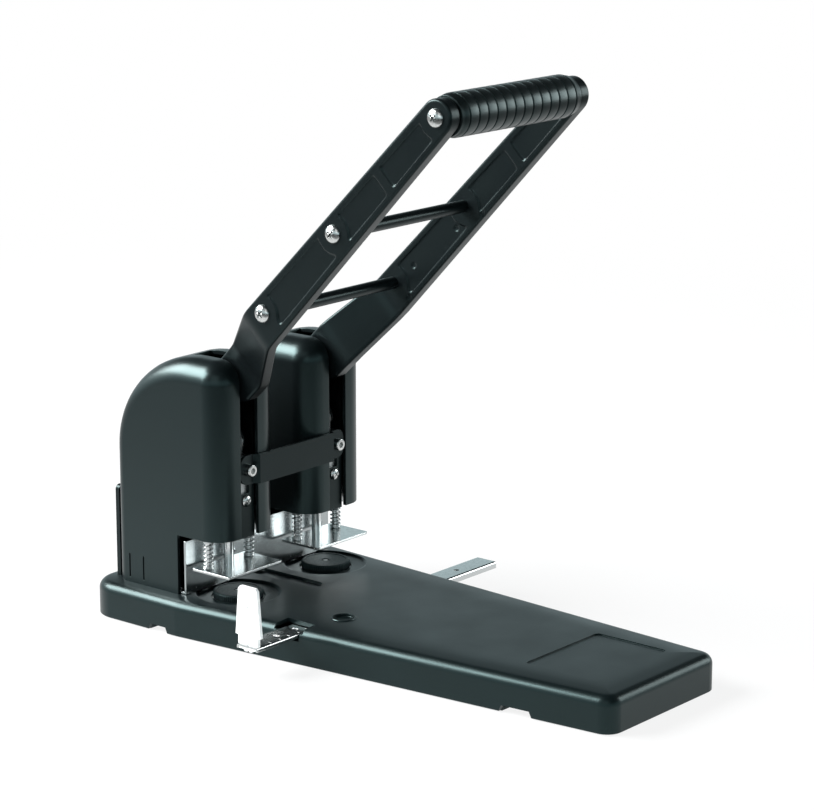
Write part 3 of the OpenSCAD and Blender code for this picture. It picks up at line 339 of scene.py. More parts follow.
def new_material(name, tints, roughs, patches, bump=None, sheen="FFFFFF", others=None,
                 spread=(0.3, 0.7), stretch=None):
    """A finish in one shader. Tints and roughs are one value each, or two that the patches blend
    over their spread. A pattern is noise on the piece's own coordinates, as its waves a metre and
    its detail. A bump is its strength, its depth in metres and the patterns that it adds up."""
    material = bpy.data.materials.new(name)
    material.use_nodes = True
    tree = material.node_tree
    tree.nodes.clear()
    place = add(tree, "ShaderNodeTexCoord").outputs["Object"]
    if stretch:
        place = add(tree, "ShaderNodeMapping", {"Vector": place, "Scale": stretch}).outputs[0]
    strength, depth, *reliefs = bump or (0, 0)
    fields = []
    for scale, detail in (patches, *reliefs):
        noise = add(tree, "ShaderNodeTexNoise", {"Vector": place, "Scale": scale,
                                                 "Detail": detail})
        fields.append(noise.outputs["Fac"])
    surface = {"Base Color": srgb(tints[0]), "Roughness": roughs[0],
               "Specular Tint": srgb(sheen), **(others or {})}
    if len(tints) > 1:
        ramp = add(tree, "ShaderNodeValToRGB", {"Fac": fields[0]})
        for stop, tint in zip(ramp.color_ramp.elements, tints):
            stop.color = srgb(tint)
        surface["Base Color"] = ramp.outputs["Color"]
    if len(roughs) > 1:
        gloss = add(tree, "ShaderNodeMapRange", {"Value": fields[0], "From Min": spread[0],
                                                 "From Max": spread[1], "To Min": roughs[0],
                                                 "To Max": roughs[1]})
        surface["Roughness"] = gloss.outputs[0]
    if reliefs:
        height = fields[1]
        for field in fields[2:]:
            height = add(tree, "ShaderNodeMath", {0: height, 1: field},
                         operation="ADD").outputs[0]
        relief = add(tree, "ShaderNodeBump", {"Height": height, "Strength": strength,
                                              "Distance": depth})
        surface["Normal"] = relief.outputs[0]
    shader = add(tree, "ShaderNodeBsdfPrincipled", surface)
    add(tree, "ShaderNodeOutputMaterial", {"Surface": shader.outputs[0]})
    return material


# All the black plastic and paint has a cool sheen, a little blue and green
cool_sheen = "C4ECEC"

# Moulded black ABS: a fine spark-eroded grain breaks up its reflections, and handling has
# polished it a little in patches. The grain is drawn at 0.7 mm, coarser than the real 0.2 mm.
cover_abs = new_material("black ABS, spark-eroded grain", ("050A0B", "0C1416"), (0.36, 0.29),
                         (28, 3), (0.25, 0.00006, (1400, 2)), cool_sheen, {"IOR": 1.45})

# Each punch pin, with its head, stands 40 mm from the middle
sides = ((-1, "left"), (1, "right"))
pin_x = 40

base_outline = tangent_outline([(58, 65, 20), (-58, 65, 20), (-58, 10, 20), (-42.5, -283.5, 10),
                                (42.5, -283.5, 10), (58, 10, 20)])
cover_top, cover_under = 22.7, 19.9
cover_wall, inner_r = 2.5, 2.0
foot_z, foot_edge = 0.5, 0.4
rings = [outline_at(base_outline, cover_wall + inner_r * (1 - c), cover_under - inner_r * (1 - s))
         for s, c in reversed(quarter(4))]
rings += [outline_at(base_outline, cover_wall, foot_z),
          outline_at(base_outline, foot_edge, foot_z),
          outline_at(base_outline, 0.0, foot_z + foot_edge)]
# The edge is rounded up to where it meets the crown, which rises to the flat of the top
corner_r, crown, crown_w = 6.0, 0.7, 26.0
edge_steps, crown_steps = 12, 13
crown_end = math.pi / 2 - math.atan(3 * crown / crown_w)
for i in range(edge_steps + 1):
    t = crown_end * i / edge_steps
    rings.append(outline_at(base_outline, corner_r * (1 - math.cos(t)),
                            cover_top - crown - corner_r * (math.sin(crown_end) - math.sin(t))))
corner_in = corner_r * (1 - math.cos(crown_end))
# Past this inset the front corners would turn inside out, so points go to the middle line
straight_in = 9.5
middle_front, middle_rear = -240, 30
for i in range(1, crown_steps + 1):
    k = 1 - i / crown_steps
    inset = corner_in + crown_w * (1 - k)
    ring = outline_at(base_outline, min(inset, straight_in), cover_top - crown * k ** 3)
    for p in ring:
        inwards = Vector((0, min(middle_rear, max(middle_front, p.y)), p.z)) - p
        p += inwards.normalized() * max(0.0, inset - straight_in)
    rings.append(ring)
cover = solid("cover", rings, merge=0.0005)

# The wells, the openings for the head frames and the rear plate, the groove and the label recess
disc_y = -7.4
well_profile = [(15.9, -6.0), (15.9, -2.6), (16.2, -2.1), (16.9, -1.75), (22.0, -1.72),
                (24.1, -1.66), (24.6, -1.5), (24.95, -1.2), (25.3, -0.65), (25.65, -0.3),
                (26.0, -0.12), (26.4, -0.03), (26.8, 0.02), (27.2, 0.6)]
cutters = [turned(well_profile, (side * pin_x, disc_y, cover_top), steps=96) for side, _ in sides]
open_low, open_high = 18, 24
cutters += [block((side * pin_x - 21.5, 13.5, open_low), (side * pin_x + 21.5, 54.5, open_high))
            for side, _ in sides]
cutters.append(block((-60.4, 72.1, open_low), (60.4, 75.9, open_high)))
groove = tangent_outline([(0, 14, 6), (0, -32, 6)], 15)
cutters.append(solid("groove", [outline_at(groove, inset, cover_top + z) for inset, z in (
    (1.3, -1.4), (0.9, -1.25), (0.1, -0.2), (-0.5, 0.4))]))
label = tangent_outline([(31.5, -224, 3), (-31.5, -224, 3), (-31.5, -267, 3), (31.5, -267, 3)], 15)
cutters.append(solid("label", [outline_at(label, inset, cover_top + z) for inset, z in (
    (0.2, -0.7), (0.0, -0.6), (-0.1, 1))]))
# The guide bar's way through the base, open from above at the near edge, and the prise cuts that
# bare the tray's edge
bar_front, bar_rear = -82.85, -66.15
cutters.append(block((-100, bar_front, 14.6), (100, bar_rear, cover_under)))
cutters.append(block((-100, bar_front - 2, 19), (-58, bar_rear + 2, open_high)))
prise_top, prise_slope = 4.2, 2.4
for y, half in ((24, 8.7), (-231.5, 11.5)):
    cutters.append(solid("prise cut", [
        [(x, y - half, -1), (x, y + half, -1), (x, y + half - prise_slope, prise_top),
         (x, y - half + prise_slope, prise_top)] for x in (-90, 90)]))
# The round dimple has a low rim that stands proud of the top
dimple_place = (-37.6, -89.4, cover_top)
cutters.append(turned([(6.2, -1.2), (6.4, -1.0), (6.4, 1.0)], dimple_place, steps=48))
cut(cover, *cutters)
dimple_rim = turned([(6.3, -0.5), (6.35, 0.1), (6.8, 0.45), (7.3, 0.42), (7.6, 0.0), (7.6, -0.5)],
                    dimple_place, steps=48, bored=True)
finished(joined("cover", cover, dimple_rim), "base_cover_shell", "base",
         cover_abs, ["base_cover"], flat=cover_top)


# Head casings
# Two tall hoods in smooth semi-gloss ABS, 2.5 mm thick, snapped over the steel frames. The front
# and top are slotted for the lever, and the front stops above the paper gap.

# Smoother than the base: broad soft reflections, which a shallow ripple 6 mm wide bends a little
# and a fine 0.6 mm grain blurs.
casing_abs = new_material("black ABS, semi-gloss moulding", ("070A0B", "0D1113"), (0.35, 0.29),
                          (22, 3), (0.12, 0.00005, (1600, 1), (160, 2)), cool_sheen,
                          {"IOR": 1.5})

head_half, slot_half, hood_wall = 26.5, 7.5, 2.5
front_y, rear_y, head_top, skirt_z = -18, 69, 168, 59.5
front_r, rear_r = 14, 7.5
# From the flat top the back falls in a round, and the slot ends a little way down it
flat_y, dome_y, slot_end_y = front_y + front_r, 9, 19
dome_r = 60
dome_z = head_top - dome_r
# Below the skirt the front steps back over the paper, and the foot reaches a little into the
# cover, so no light passes under it
step_y = 17.3
hood_foot = cover_top - 0.6
# Snap-tab slits, low in the outer wall
slit_ys, slit_low, slit_high = (46.3, 57.9), 25.5, 40.5


def head_profile():
    """Rows of the hood's side view: (y, z), the way inwards, and the fillet to its sides."""
    rows = [(front_y, z, 1, 0, front_r) for z in (skirt_z, 90, 120, head_top - front_r)]
    for s, c in quarter(10)[1:]:
        rows.append((front_y + front_r * (1 - c), head_top - front_r * (1 - s), c, -s, front_r))
    for i in range(1, 7):
        rows.append((flat_y + (dome_y - flat_y) * i / 6, head_top, 0, -1, front_r))
    slot_end = math.degrees(math.acos((slot_end_y - dome_y) / dome_r))
    for degrees in (86, slot_end, *range(76, -1, -4)):
        c, s = math.cos(math.radians(degrees)), math.sin(math.radians(degrees))
        rows.append((dome_y + dome_r * c, dome_z + dome_r * s, -c, -s,
                     rear_r + (front_r - rear_r) * s ** 1.5))
    return rows + [(rear_y, z, -1, 0, rear_r) for z in (70, hood_foot)]


def corner(x, y, z):
    """The hood's vertex at a point, made once."""
    key = (round(x, 4), round(y, 4), round(z, 4))
    if key not in known:
        known[key] = bm.verts.new(key)
    return known[key]


def patch(points):
    """A face of the hood, unless its corners fall together."""
    ring = [p for i, p in enumerate(points) if p is not points[i - 1]]
    if len(set(ring)) > 2:
        bm.faces.new(ring)


for side, suffix in sides:
    bm = bmesh.new()
    known = {}
    rows = []
    for y, z, inward_y, inward_z, r in head_profile():
        turn = [(head_half - r + r * s, r - r * c) for s, c in quarter(8)]
        row = [corner(-x, y + inward_y * d, z + inward_z * d) for x, d in reversed(turn)]
        row += [corner(x, y, z) for x in (-slot_half, slot_half)]
        row += [corner(x, y + inward_y * d, z + inward_z * d) for x, d in turn]
        rows.append((row, y, z))
    middle = len(rows[0][0]) // 2 - 1
    for (low, _, _), (high, y, z) in zip(rows, rows[1:]):
        in_slot = y < slot_end_y + 0.01 and z > skirt_z
        for i in range(len(low) - 1):
            if not (i == middle and in_slot):
                patch([low[i], low[i + 1], high[i + 1], high[i]])
    for end, x in ((0, -head_half), (-1, head_half)):
        patch([row[end] for row, _, _ in rows]
              + [corner(x, step_y, z) for z in (hood_foot, skirt_z)])
    hood = new_object("hood", bm)
    shell = hood.modifiers.new("wall", "SOLIDIFY")
    shell.thickness = hood_wall
    shell.offset = -1
    shell.use_even_offset = True
    settle(hood)
    out = side * head_half
    cut(hood, *[block((out - side * 4, y - 0.5, slit_low), (out + side, y + 0.5, slit_high))
                for y in slit_ys])
    hood.data.transform(Matrix.Translation((side * pin_x, 0, 0)))
    finished(hood, "head_hood_" + suffix, "base", casing_abs,
             ["head_casing_" + suffix], edge=0.35)


# Lever arms
# Two mirror-image die castings in black enamel. Each is a flat bar with shallow panels, bent
# inwards low down, and its thin end runs into the slot of a head and onto the pivot axle.

# Stove enamel follows the casting's skin in low waves 4 mm wide, and dust under it, drawn at
# 0.8 mm, gives it a fine broken gloss.
enamel = new_material("black stove enamel on a die casting", ("070A0B", "0F1315"), (0.36, 0.28),
                      (30, 4), (0.2, 0.00006, (240, 3), (1300, 1)), cool_sheen, {"IOR": 1.35})

pivot_y, pivot_z = 26.5, 128.5
lean = math.radians(44.3)
lever_length = 286.7
screw_places = [108.1, 183.7, lever_length]
# The fold brings the arm's middle out from that of the slot to x = 58.5
fold_low, fold_high, arm_x = 59, 96, 58.5
arm_start = 46
tip_r, edge_r, half_thick = 10.5, 1.7, 4.5
front_low, front_high, front_taper = 22, 17.4, 0.0361
panel_depth, panel_wall, panel_front, panel_back = 0.8, 0.9, 3.6, 5.6
# Each panel runs between two places along the arm and curves round the screw at an end
panels = [(114.5, 177.5, 108.1, 183.7), (190, 230.5, 183.7, None), (237, 278, None, lever_length)]
screw_boss_r = 11.5
# Ejector pin marks on the inner face
pits = [(128, -2), (170, -6), (112, -14), (192, -12)]
pit_depth, pit_r = 0.5, 2.2


def on_arm(s, p, x):
    """A point s along the arm from the pivot and p behind its axis."""
    return Vector((x, pivot_y - s * math.cos(lean) + p * math.sin(lean),
                   pivot_z + s * math.sin(lean) + p * math.cos(lean)))


def front_edge(s):
    """Where the arm ends in front of its axis."""
    if s < fold_high:
        rise = max(0, s - fold_low) / (fold_high - fold_low)
        return (front_low - front_high) * rise - front_low
    return front_taper * (s - fold_high) - front_high


def back_edge(s):
    """Where the arm ends behind its axis."""
    return 9.2 + 1.3 * (s - arm_start) / (lever_length - arm_start)


def smooth(t):
    """A soft step from 0 to 1."""
    t = min(1.0, max(0.0, t))
    return t * t * (3 - 2 * t)


def face_height(s, p, inner):
    """Half the arm's thickness at a point of its inner or outer face."""
    if s > lever_length:
        edge = tip_r - math.hypot(s - lever_length, p)
    else:
        edge = min(p - front_edge(s), back_edge(s) - p)
    height = half_thick
    if edge < edge_r:
        reach = edge_r - max(0.0, edge)
        height -= edge_r - math.sqrt(edge_r ** 2 - reach ** 2)
    for low, high, *screws in panels:
        if low - 1 < s < high + 1:
            walls = [p - front_edge(s) - panel_front, panel_back - p, s - low, high - s]
            walls += [math.hypot(s - place, p) - screw_boss_r for place in screws if place]
            nearest = -panel_wall * math.log(sum(math.exp(-w / panel_wall) for w in walls))
            height -= panel_depth * smooth(nearest / panel_wall + 0.5)
    if inner:
        height -= sum(pit_depth * smooth(pit_r - math.hypot(s - u, p - v)) for u, v in pits)
    return height


def bend(low, high, s):
    """A value that goes from low to high over the fold, its corners smoothed over 8 mm."""
    steps = [min(1.0, max(0.0, (s + d - fold_low) / (fold_high - fold_low)))
             for d in range(-4, 5)]
    return low + (high - low) * sum(steps) / 9


def arm_row(s, side):
    """One section across the arm: its outer face forwards, then its inner face back."""
    if s > lever_length:
        high = math.sqrt(max(0.0, tip_r ** 2 - (s - lever_length) ** 2))
        low = -high
    else:
        low, high = front_edge(s), back_edge(s)
    lip = [d * min(1.0, (high - low) / 5) for d in (0.0, 0.12, 0.4, 0.8, 1.25, edge_r)]
    count = 50
    middle = [low + lip[-1] + (high - low - 2 * lip[-1]) * i / count for i in range(1, count)]
    across = [low + d for d in lip] + middle + [high - d for d in reversed(lip)]
    centre = bend(pin_x, arm_x, s)
    scale = bend(5, half_thick, s) / half_thick
    row = [on_arm(s, p, side * (centre + scale * face_height(s, p, False))) for p in across]
    row += [on_arm(s, p, side * (centre - scale * face_height(s, p, True)))
            for p in reversed(across)]
    return row


# Sections stand 1.5 mm apart round the fold, and 0.6 mm along the panels to draw their walls
stations = [arm_start + 1.5 * i for i in range(39)] + [104 + 0.6 * i for i in range(304)]
stations += [lever_length + tip_r * math.sin(math.radians(a)) for a in range(0, 89, 4)]
tongue_outline = [(48, -21.5), (44, -21.5), (32, -15)] + [
    (-12 * math.sin(a), -12 * math.cos(a)) for a in (math.pi * i / 14 for i in range(15))]
tongue_outline.append((48, 9.2))
for side, suffix in sides:
    arm = solid("arm", [arm_row(s, side) for s in stations])
    tongue = solid("tongue", [[on_arm(s, p, side * x) for s, p in tongue_outline]
                              for x in (pin_x - 3, pin_x + 3)])
    pivot = (side * pin_x, pivot_y, pivot_z)
    hub = turned([(10, -9.2), (10, 9.2)], pivot, "X", 48)
    for part in (hub, tongue):
        cut(part, turned([(5.05, -12), (5.05, 12)], pivot, "X", 48))
    finished(joined("arm", arm, tongue, hub), "lever_bar_" + suffix, "lever",
             enamel, ["lever_arm_" + suffix])


# Grip
# A hard plastic sleeve with turned ring grooves. It is slipped over a steel core between the two
# arms, and the top pair of arm screws holds both.

# Polypropylene has a soft waxy gloss. Faint swirls from the turning show in it, and hands have
# polished it in patches.
grip_plastic = new_material("black polypropylene, turned rings", ("0E1112",), (0.36, 0.29),
                            (60, 3), (0.15, 0.00005, (350, 2)), cool_sheen, {"IOR": 1.49})

grip_r, grip_half, plain_end = 12.5, 53.95, 6
ring_count = 12
ring_span = 2 * (grip_half - plain_end)
sleeve_end = [(5.02, 0), (11.2, 0), (11.5, 0.3), (11.5, 2.2), (11.9, 2.6)]
ring_groove = [(0.03, -0.75), (0.2, -0.5), (0.8, -0.25), (0.8, 0.25), (0.2, 0.5), (0.03, 0.75)]
profile = [(radius, x - grip_half) for radius, x in sleeve_end]
for i in range(ring_count + 1):
    x = -ring_span / 2 + ring_span * i / ring_count
    profile += [(grip_r - depth, x + dx) for depth, dx in ring_groove]
    if i < ring_count:
        profile.append((grip_r, x + ring_span / ring_count / 2))
profile += [(radius, grip_half - x) for radius, x in reversed(sleeve_end)]
finished(turned(profile, on_arm(lever_length, 0, 0), "X", 72, bored=True), "grip_ribbed_sleeve",
         "lever", grip_plastic, ["grip_sleeve"], sharp=50)


# Cross rods
# Two round steel spacers keep the arms apart. They are enamelled with the arms, and tapped at both
# ends for the arm screws.

rod_profile = [(2.5, -54), (3.5, -54), (3.8, -53.7), (3.8, 53.7), (3.5, 54), (2.5, 54)]
for s, node in ((screw_places[0], "cross_rod_lower"), (screw_places[1], "cross_rod_upper")):
    rod = turned(rod_profile, on_arm(s, 0, 0), "X", 40)
    finished(rod, node + "_bar", "lever", enamel, [node])


# Screws
# Zinc-plated steel. The arms have large domed screws with a cross recess, the clamp plates
# smaller ones, and the strap has socket screws. Each kind is one head, set on its places.

metal = {"Metallic": 1.0}
# Bright zinc plate: a pale mirror, hazed by fine spots about 1 mm wide where it is duller.
zinc = new_material("bright zinc plate on steel", ("B9BCBB", "DADCDB"), (0.28, 0.18), (900, 3),
                    others=metal)


def screw_head(profile, recess):
    """A unit screw head, radius 1 and height 1, with a cross or a six-sided recess."""
    head = turned(profile, (0, 0, 0), "Z", 48)
    if recess == "cross":
        for turn in (45, 135):
            blade = solid("blade", [[(x * w, y * w, z) for x, y in (
                (-0.52, -0.11), (0.52, -0.11), (0.52, 0.11), (-0.52, 0.11))]
                                    for w, z in ((0.62, 0.3), (1.0, 1.2))])
            blade.data.transform(Matrix.Rotation(math.radians(turn), 4, "Z"))
            cut(head, blade)
    else:
        cut(head, turned([(0.52, 0.45), (0.52, 1.5)], (0, 0, 0), "Z", 6))
    rounded(head, 0.03)
    return head


def new_tree(name, **inputs):
    """A tree with its named inputs, and what they give."""
    tree = bpy.data.node_groups.new(name, "GeometryNodeTree")
    for label, kind in inputs.items():
        tree.interface.new_socket(label, in_out="INPUT", socket_type="NodeSocket" + kind)
    tree.interface.new_socket("Geometry", in_out="OUTPUT", socket_type="NodeSocketGeometry")
    return tree, add(tree, "NodeGroupInput").outputs


def end_tree(tree, geometry, finish):
    """The tree gives real geometry in its finish."""
    real = add(tree, "GeometryNodeRealizeInstances", {"Geometry": geometry})
    dressed = add(tree, "GeometryNodeSetMaterial", {"Geometry": real.outputs["Geometry"],
                                                    "Material": finish})
    add(tree, "NodeGroupOutput", {"Geometry": dressed.outputs["Geometry"]})


def grown(mesh, tree, values):
    """What the tree makes of a mesh, with these values for its inputs."""
    piece = placed("grown", mesh)
    step = piece.modifiers.new("grow", "NODES")
    step.node_group = tree
    for socket in tree.interface.items_tree:
        if socket.in_out == "INPUT" and socket.name in values:
            step[socket.identifier] = values[socket.name]
    settle(piece)
    return piece


# Sets a part on every point, its length along the point's own direction
setting, given = new_tree("set on places", Geometry="Geometry", Part="Object", Radius="Float",
                          Height="Float", Finish="Material")
part = add(setting, "GeometryNodeObjectInfo", {"Object": given["Part"]})
aim = add(setting, "GeometryNodeInputNamedAttribute", {"Name": "aim"}, data_type="FLOAT_VECTOR")
turn = add(setting, "FunctionNodeAlignRotationToVector", {"Vector": aim.outputs["Attribute"]},
           axis="Z")
size = add(setting, "ShaderNodeCombineXYZ", {"X": given["Radius"], "Y": given["Radius"],
                                             "Z": given["Height"]})
copies = add(setting, "GeometryNodeInstanceOnPoints",
             {"Points": given["Geometry"], "Instance": part.outputs["Geometry"],
              "Rotation": turn.outputs["Rotation"], "Scale": size.outputs[0]})
end_tree(setting, copies.outputs["Instances"], given["Finish"])


def set_on(places, part, radius, height):
    """Zinc-plated copies of a part on places, given as pairs of a point and a direction."""
    mesh = bpy.data.meshes.new("places")
    mesh.from_pydata([p for p, _ in places], [], [])
    aims = mesh.attributes.new("aim", "FLOAT_VECTOR", "POINT")
    for i, (_, direction) in enumerate(places):
        aims.data[i].vector = direction
    piece = grown(mesh, setting, {"Part": part, "Radius": radius, "Height": height,
                                  "Finish": zinc})
    bpy.data.objects.remove(part)
    return piece


dome = [(0.02, -0.3), (0.98, -0.3), (1.0, 0.0), (0.99, 0.22), (0.94, 0.42), (0.84, 0.62),
        (0.68, 0.81), (0.45, 0.94), (0.2, 0.99), (0.02, 1.0)]
drum = [(0.02, -0.3), (0.98, -0.3), (1.0, 0.0), (1.0, 0.82), (0.94, 0.95), (0.85, 1.0),
        (0.02, 1.0)]
# An arm screw's head sits 0.2 mm into the arm's outer face
arm_places = [(on_arm(s, 0, side * (arm_x + half_thick - 0.2)), (side, 0, 0))
              for side, _ in sides for s in screw_places]
clamp_places = [((side * pin_x, -14.9, 81), (0, -1, 0)) for side, _ in sides]
strap_places = [((side * pin_x, -16.9, 100.4), (0, -1, 0)) for side, _ in sides]
for kind, body, places, head, recess, radius, height in (
        ("arm", "lever", arm_places, dome, "cross", 5.4, 2.75),
        ("clamp", "carriage", clamp_places, dome, "cross", 3.8, 2.1),
        ("strap", "carriage", strap_places, drum, "hexagon", 3.7, 4.0)):
    heads = set_on(places, screw_head(head, recess), radius, height)
    finished(heads, kind + "_screw_heads", body, zinc, [kind + "_screws"], sharp=40)


# Plates and castings
# The strap and clamp plates are laser-cut and enamelled, the sliders tumbled zinc castings, the
# frames steel sheet drawn near black, the links zinc-plated, and the columns and pins ground. The
# edges of all are broken.

def softened(node, body, material, edge, rounds=2, cutters=(), extra=None):
    """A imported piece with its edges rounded, in place of the bare one."""
    bm = bmesh.new()
    bm.from_mesh(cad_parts[node].data)
    bmesh.ops.scale(bm, vec=(1000, 1000, 1000), verts=bm.verts)
    bmesh.ops.remove_doubles(bm, verts=bm.verts, dist=0.001)
    bmesh.ops.dissolve_limit(bm, angle_limit=math.radians(0.8), verts=bm.verts, edges=bm.edges)
    mesh = bpy.data.meshes.new(node)
    bm.to_mesh(mesh)
    bm.free()
    piece = placed(node, mesh)
    if cutters:
        cut(piece, *cutters)
    if extra:
        piece = joined(node, piece, extra)
    finished(piece, node + "_part", body, material, [node], edge, rounds)


# A tumbled casting is dull silver, with a pebbled skin 2 mm wide
cast_zinc = new_material("tumbled zinc casting", ("9A9FA0", "C4C8C8"), (0.42,), (500, 4),
                         (0.3, 0.00008, (500, 4)), others=metal)
# The wheel leaves fine lines up ground steel, drawn 0.7 mm apart, that draw its gleam out
ground_steel = new_material("ground steel", ("A6A9AA", "CBCDCE"), (0.3,), (1500, 2),
                            (0.2, 0.00003, (1500, 2)), others=metal, stretch=(1.0, 1.0, 0.06))
# The head frames' steel sheet is drawn nearly black, with a blotched, dull gleam, so the slots
# of the hoods look dark
near_black_frame_steel = new_material("near-black steel sheet", ("0F1213", "24292B"), (0.5, 0.38), (300, 4),
                           others=metal)
# Sintered bronze is brown and speckled by its pores, drawn at 0.6 mm
bronze = new_material("sintered bronze", ("7E6238", "B08E58"), (0.5,), (1800, 2), others=metal)

softened("cross_strap", "carriage", enamel, 0.35, 3)
softened("rear_plate", "base", enamel, 0.15)
for _, suffix in sides:
    for node, body, slot, material, edge in (
            ("pin_clamp_", "carriage", "black_paint", enamel, 0.25),
            ("slider_", "carriage", "zinc_casting", cast_zinc, 0.4),
            ("links_", suffix + "_links", "zinc_plate", zinc, 0.25),
            ("head_frame_", "base", "steel", near_black_frame_steel, 0.3),
            ("guide_column_", "base", "steel", ground_steel, 0.4),
            ("pivot_axle_", "base", "steel", ground_steel, 0.2),
            ("link_pin_", "lever", "steel", ground_steel, 0.2),
            ("slider_pin_", "carriage", "steel", ground_steel, 0.2),
            ("guide_bush_", "carriage", "bronze", bronze, 0.3),
            ("disc_pivot_", "base", "steel", ground_steel, 0.3)):
        softened(node + suffix, body, material, edge)
for node, slot, material, edge in (("axle_clips", "steel", ground_steel, 0.1),
                                   ("chassis_plate", "steel", ground_steel, 0.3),
                                   ("frame_screws", "zinc_plate", zinc, 0.2),
                                   ("rear_plate_screws", "zinc_plate", zinc, 0.25),
                                   ("base_screws", "zinc_plate", zinc, 0.08),
                                   ("retainer_screws", "zinc_plate", zinc, 0.15),
                                   ("bar_retainer", "steel", ground_steel, 0.2),
                                   ("bar_leaf_spring", "steel", ground_steel, 0.05)):
    softened(node, "base", material, edge)
softened("grip_core", "lever", ground_steel, 0.2)


# Tray and feet
# A thin plastic tray closes the base and is screwed on from below. Six rubber pads are let into
# it, and its edge is cut away where a finger prises it off.

# Matt polystyrene: an even dark grey that hardly reflects, with a grain of 1 mm
tray_abs = new_material("black polystyrene, matt moulding", ("15191A",), (0.6, 0.5), (900, 3),
                        (0.3, 0.00008, (900, 3)), cool_sheen, {"IOR": 1.52})
# Rubber is quite dull, and chalky where it rubs on the table
rubber = new_material("moulded rubber", ("0E0F0F", "1C1D1D"), (0.85,), (700, 4),
                      (0.4, 0.0001, (700, 4)), others={"IOR": 1.52})

prises = [block((side * start, y - half, -1), (side * 90, y + half, 3.6))
          for start, y, half in ((44, -231.5, 10.5), (66, 24, 8.5)) for side, _ in sides]
softened("bottom_tray", "base", tray_abs, 0.0, cutters=prises)
softened("rubber_feet", "base", rubber, 0.1)


# Back stop and presser plates
# Bright nickel-chromed steel sheet. The paper is pushed against the stop, and each spring-loaded
# plate holds it down while the pin goes through.

# Chrome over rolled sheet mirrors what is near, a little bent by waves 22 mm wide and dulled
# where paper has rubbed it. The plates and pins are polished nickel, brighter and clearer.
chrome = new_material("bright nickel-chromed steel", ("A9AFB0",), (0.2, 0.28), (420, 4),
                      (0.25, 0.0002, (45, 2)), others=metal, spread=(0.35, 0.75))
polish = new_material("polished nickel plate", ("C6CACA",), (0.15, 0.23), (420, 4),
                      others=metal, spread=(0.35, 0.75))

softened("back_stop", "base", chrome, 0.25)
for _, suffix in sides:
    softened("presser_" + suffix, suffix + "_presser", polish, 0.2)
    softened("presser_clips_" + suffix, suffix + "_presser", ground_steel, 0.1)
    softened("punch_pin_" + suffix, "carriage", polish, 0.1)


# Springs
# Drawn spring wire. Two springs press on each presser plate, and a longer one round each guide
# column lifts the carriage and the lever again.

# Nickel-plated wire is the palest metal here, so each curl catches one bright line
wire = new_material("drawn spring wire, nickel plated", ("CFD3D3", "EDEFEF"), (0.26,), (1200, 2),
                    others=metal)

# A round wire wound up a cylinder, with a closed curl at each end
winding, given = new_tree("wound spring", **{"Mean radius": "Float", "Height": "Float",
                                             "Curls": "Float", "Wire radius": "Float",
                                             "Finish": "Material"})
line = add(winding, "GeometryNodeCurvePrimitiveLine", {"End": (0.0, 0.0, 1.0)})
fine = add(winding, "GeometryNodeResampleCurve", {"Curve": line.outputs["Curve"], "Count": 420})
along = add(winding, "GeometryNodeSplineParameter").outputs["Factor"]
climb = add(winding, "ShaderNodeFloatCurve", {"Value": along})
curve = climb.mapping.curves[0]
curve.points[0].location = (0.0, 0.0)
curve.points[1].location = (1.0, 1.0)
for x, y in ((0.1, 0.035), (0.2, 0.13), (0.8, 0.87), (0.9, 0.965)):
    curve.points.new(x, y)
climb.mapping.update()
curls = add(winding, "ShaderNodeMath", {0: along, 1: given["Curls"]}, operation="MULTIPLY")
turn = add(winding, "ShaderNodeMath", {0: curls.outputs[0], 1: 2 * math.pi},
           operation="MULTIPLY")
cosine = add(winding, "ShaderNodeMath", {0: turn.outputs[0]}, operation="COSINE")
sine = add(winding, "ShaderNodeMath", {0: turn.outputs[0]}, operation="SINE")
point = {}
for axis, share, reach in (("X", cosine, "Mean radius"), ("Y", sine, "Mean radius"),
                           ("Z", climb, "Height")):
    point[axis] = add(winding, "ShaderNodeMath", {0: share.outputs[0], 1: given[reach]},
                      operation="MULTIPLY").outputs[0]
place = add(winding, "ShaderNodeCombineXYZ", point)
wound = add(winding, "GeometryNodeSetPosition", {"Geometry": fine.outputs["Curve"],
                                                 "Position": place.outputs[0]})
section = add(winding, "GeometryNodeCurvePrimitiveCircle", {"Resolution": 10,
                                                            "Radius": given["Wire radius"]})
tube = add(winding, "GeometryNodeCurveToMesh", {"Curve": wound.outputs["Geometry"],
                                                "Profile Curve": section.outputs["Curve"],
                                                "Fill Caps": True})
end_tree(winding, tube.outputs["Mesh"], given["Finish"])


def wound_spring(place, radius, height, curls, wire_radius):
    """One spring standing on its place."""
    mesh = bpy.data.meshes.new("spring")
    mesh.from_pydata([(0, 0, 0)], [], [])
    piece = grown(mesh, winding, {"Mean radius": radius, "Height": height, "Curls": curls,
                                  "Wire radius": wire_radius, "Finish": wire})
    piece.data.transform(Matrix.Translation(place))
    return piece


for side, suffix in sides:
    pair = [wound_spring((side * pin_x + x, 0, 40.5), 2.92, 29.9, 14.0, 0.5) for x in (-18, 18)]
    springs = finished(joined("springs", *pair), "presser_coils_" + suffix,
                       suffix + "_presser", wire,
                       ["presser_springs_" + suffix], sharp=60)
    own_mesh(springs)
    lift = wound_spring((side * pin_x, 24, 20.2), 6.3, 56.8, 10.0, 0.7)
    lift = finished(lift, "return_coil_" + suffix, "base", wire,
                    ["return_spring_" + suffix], sharp=60)
    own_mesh(lift)


# Cutting discs
# Round pads of hard black plastic that the pins cut against. Their knurled rims are turned by
# hand when a spot is worn.

# Nylon that many sheets have been cut on: dull and uneven, with a worn grain of 1 mm
disc_nylon = new_material("black nylon, used cutting face", ("14181A",), (0.55, 0.42), (900, 4),
                          (0.3, 0.00006, (900, 4)), cool_sheen, {"IOR": 1.53})

disc_low, disc_high = 19.5, 24.4
tooth_count = 72
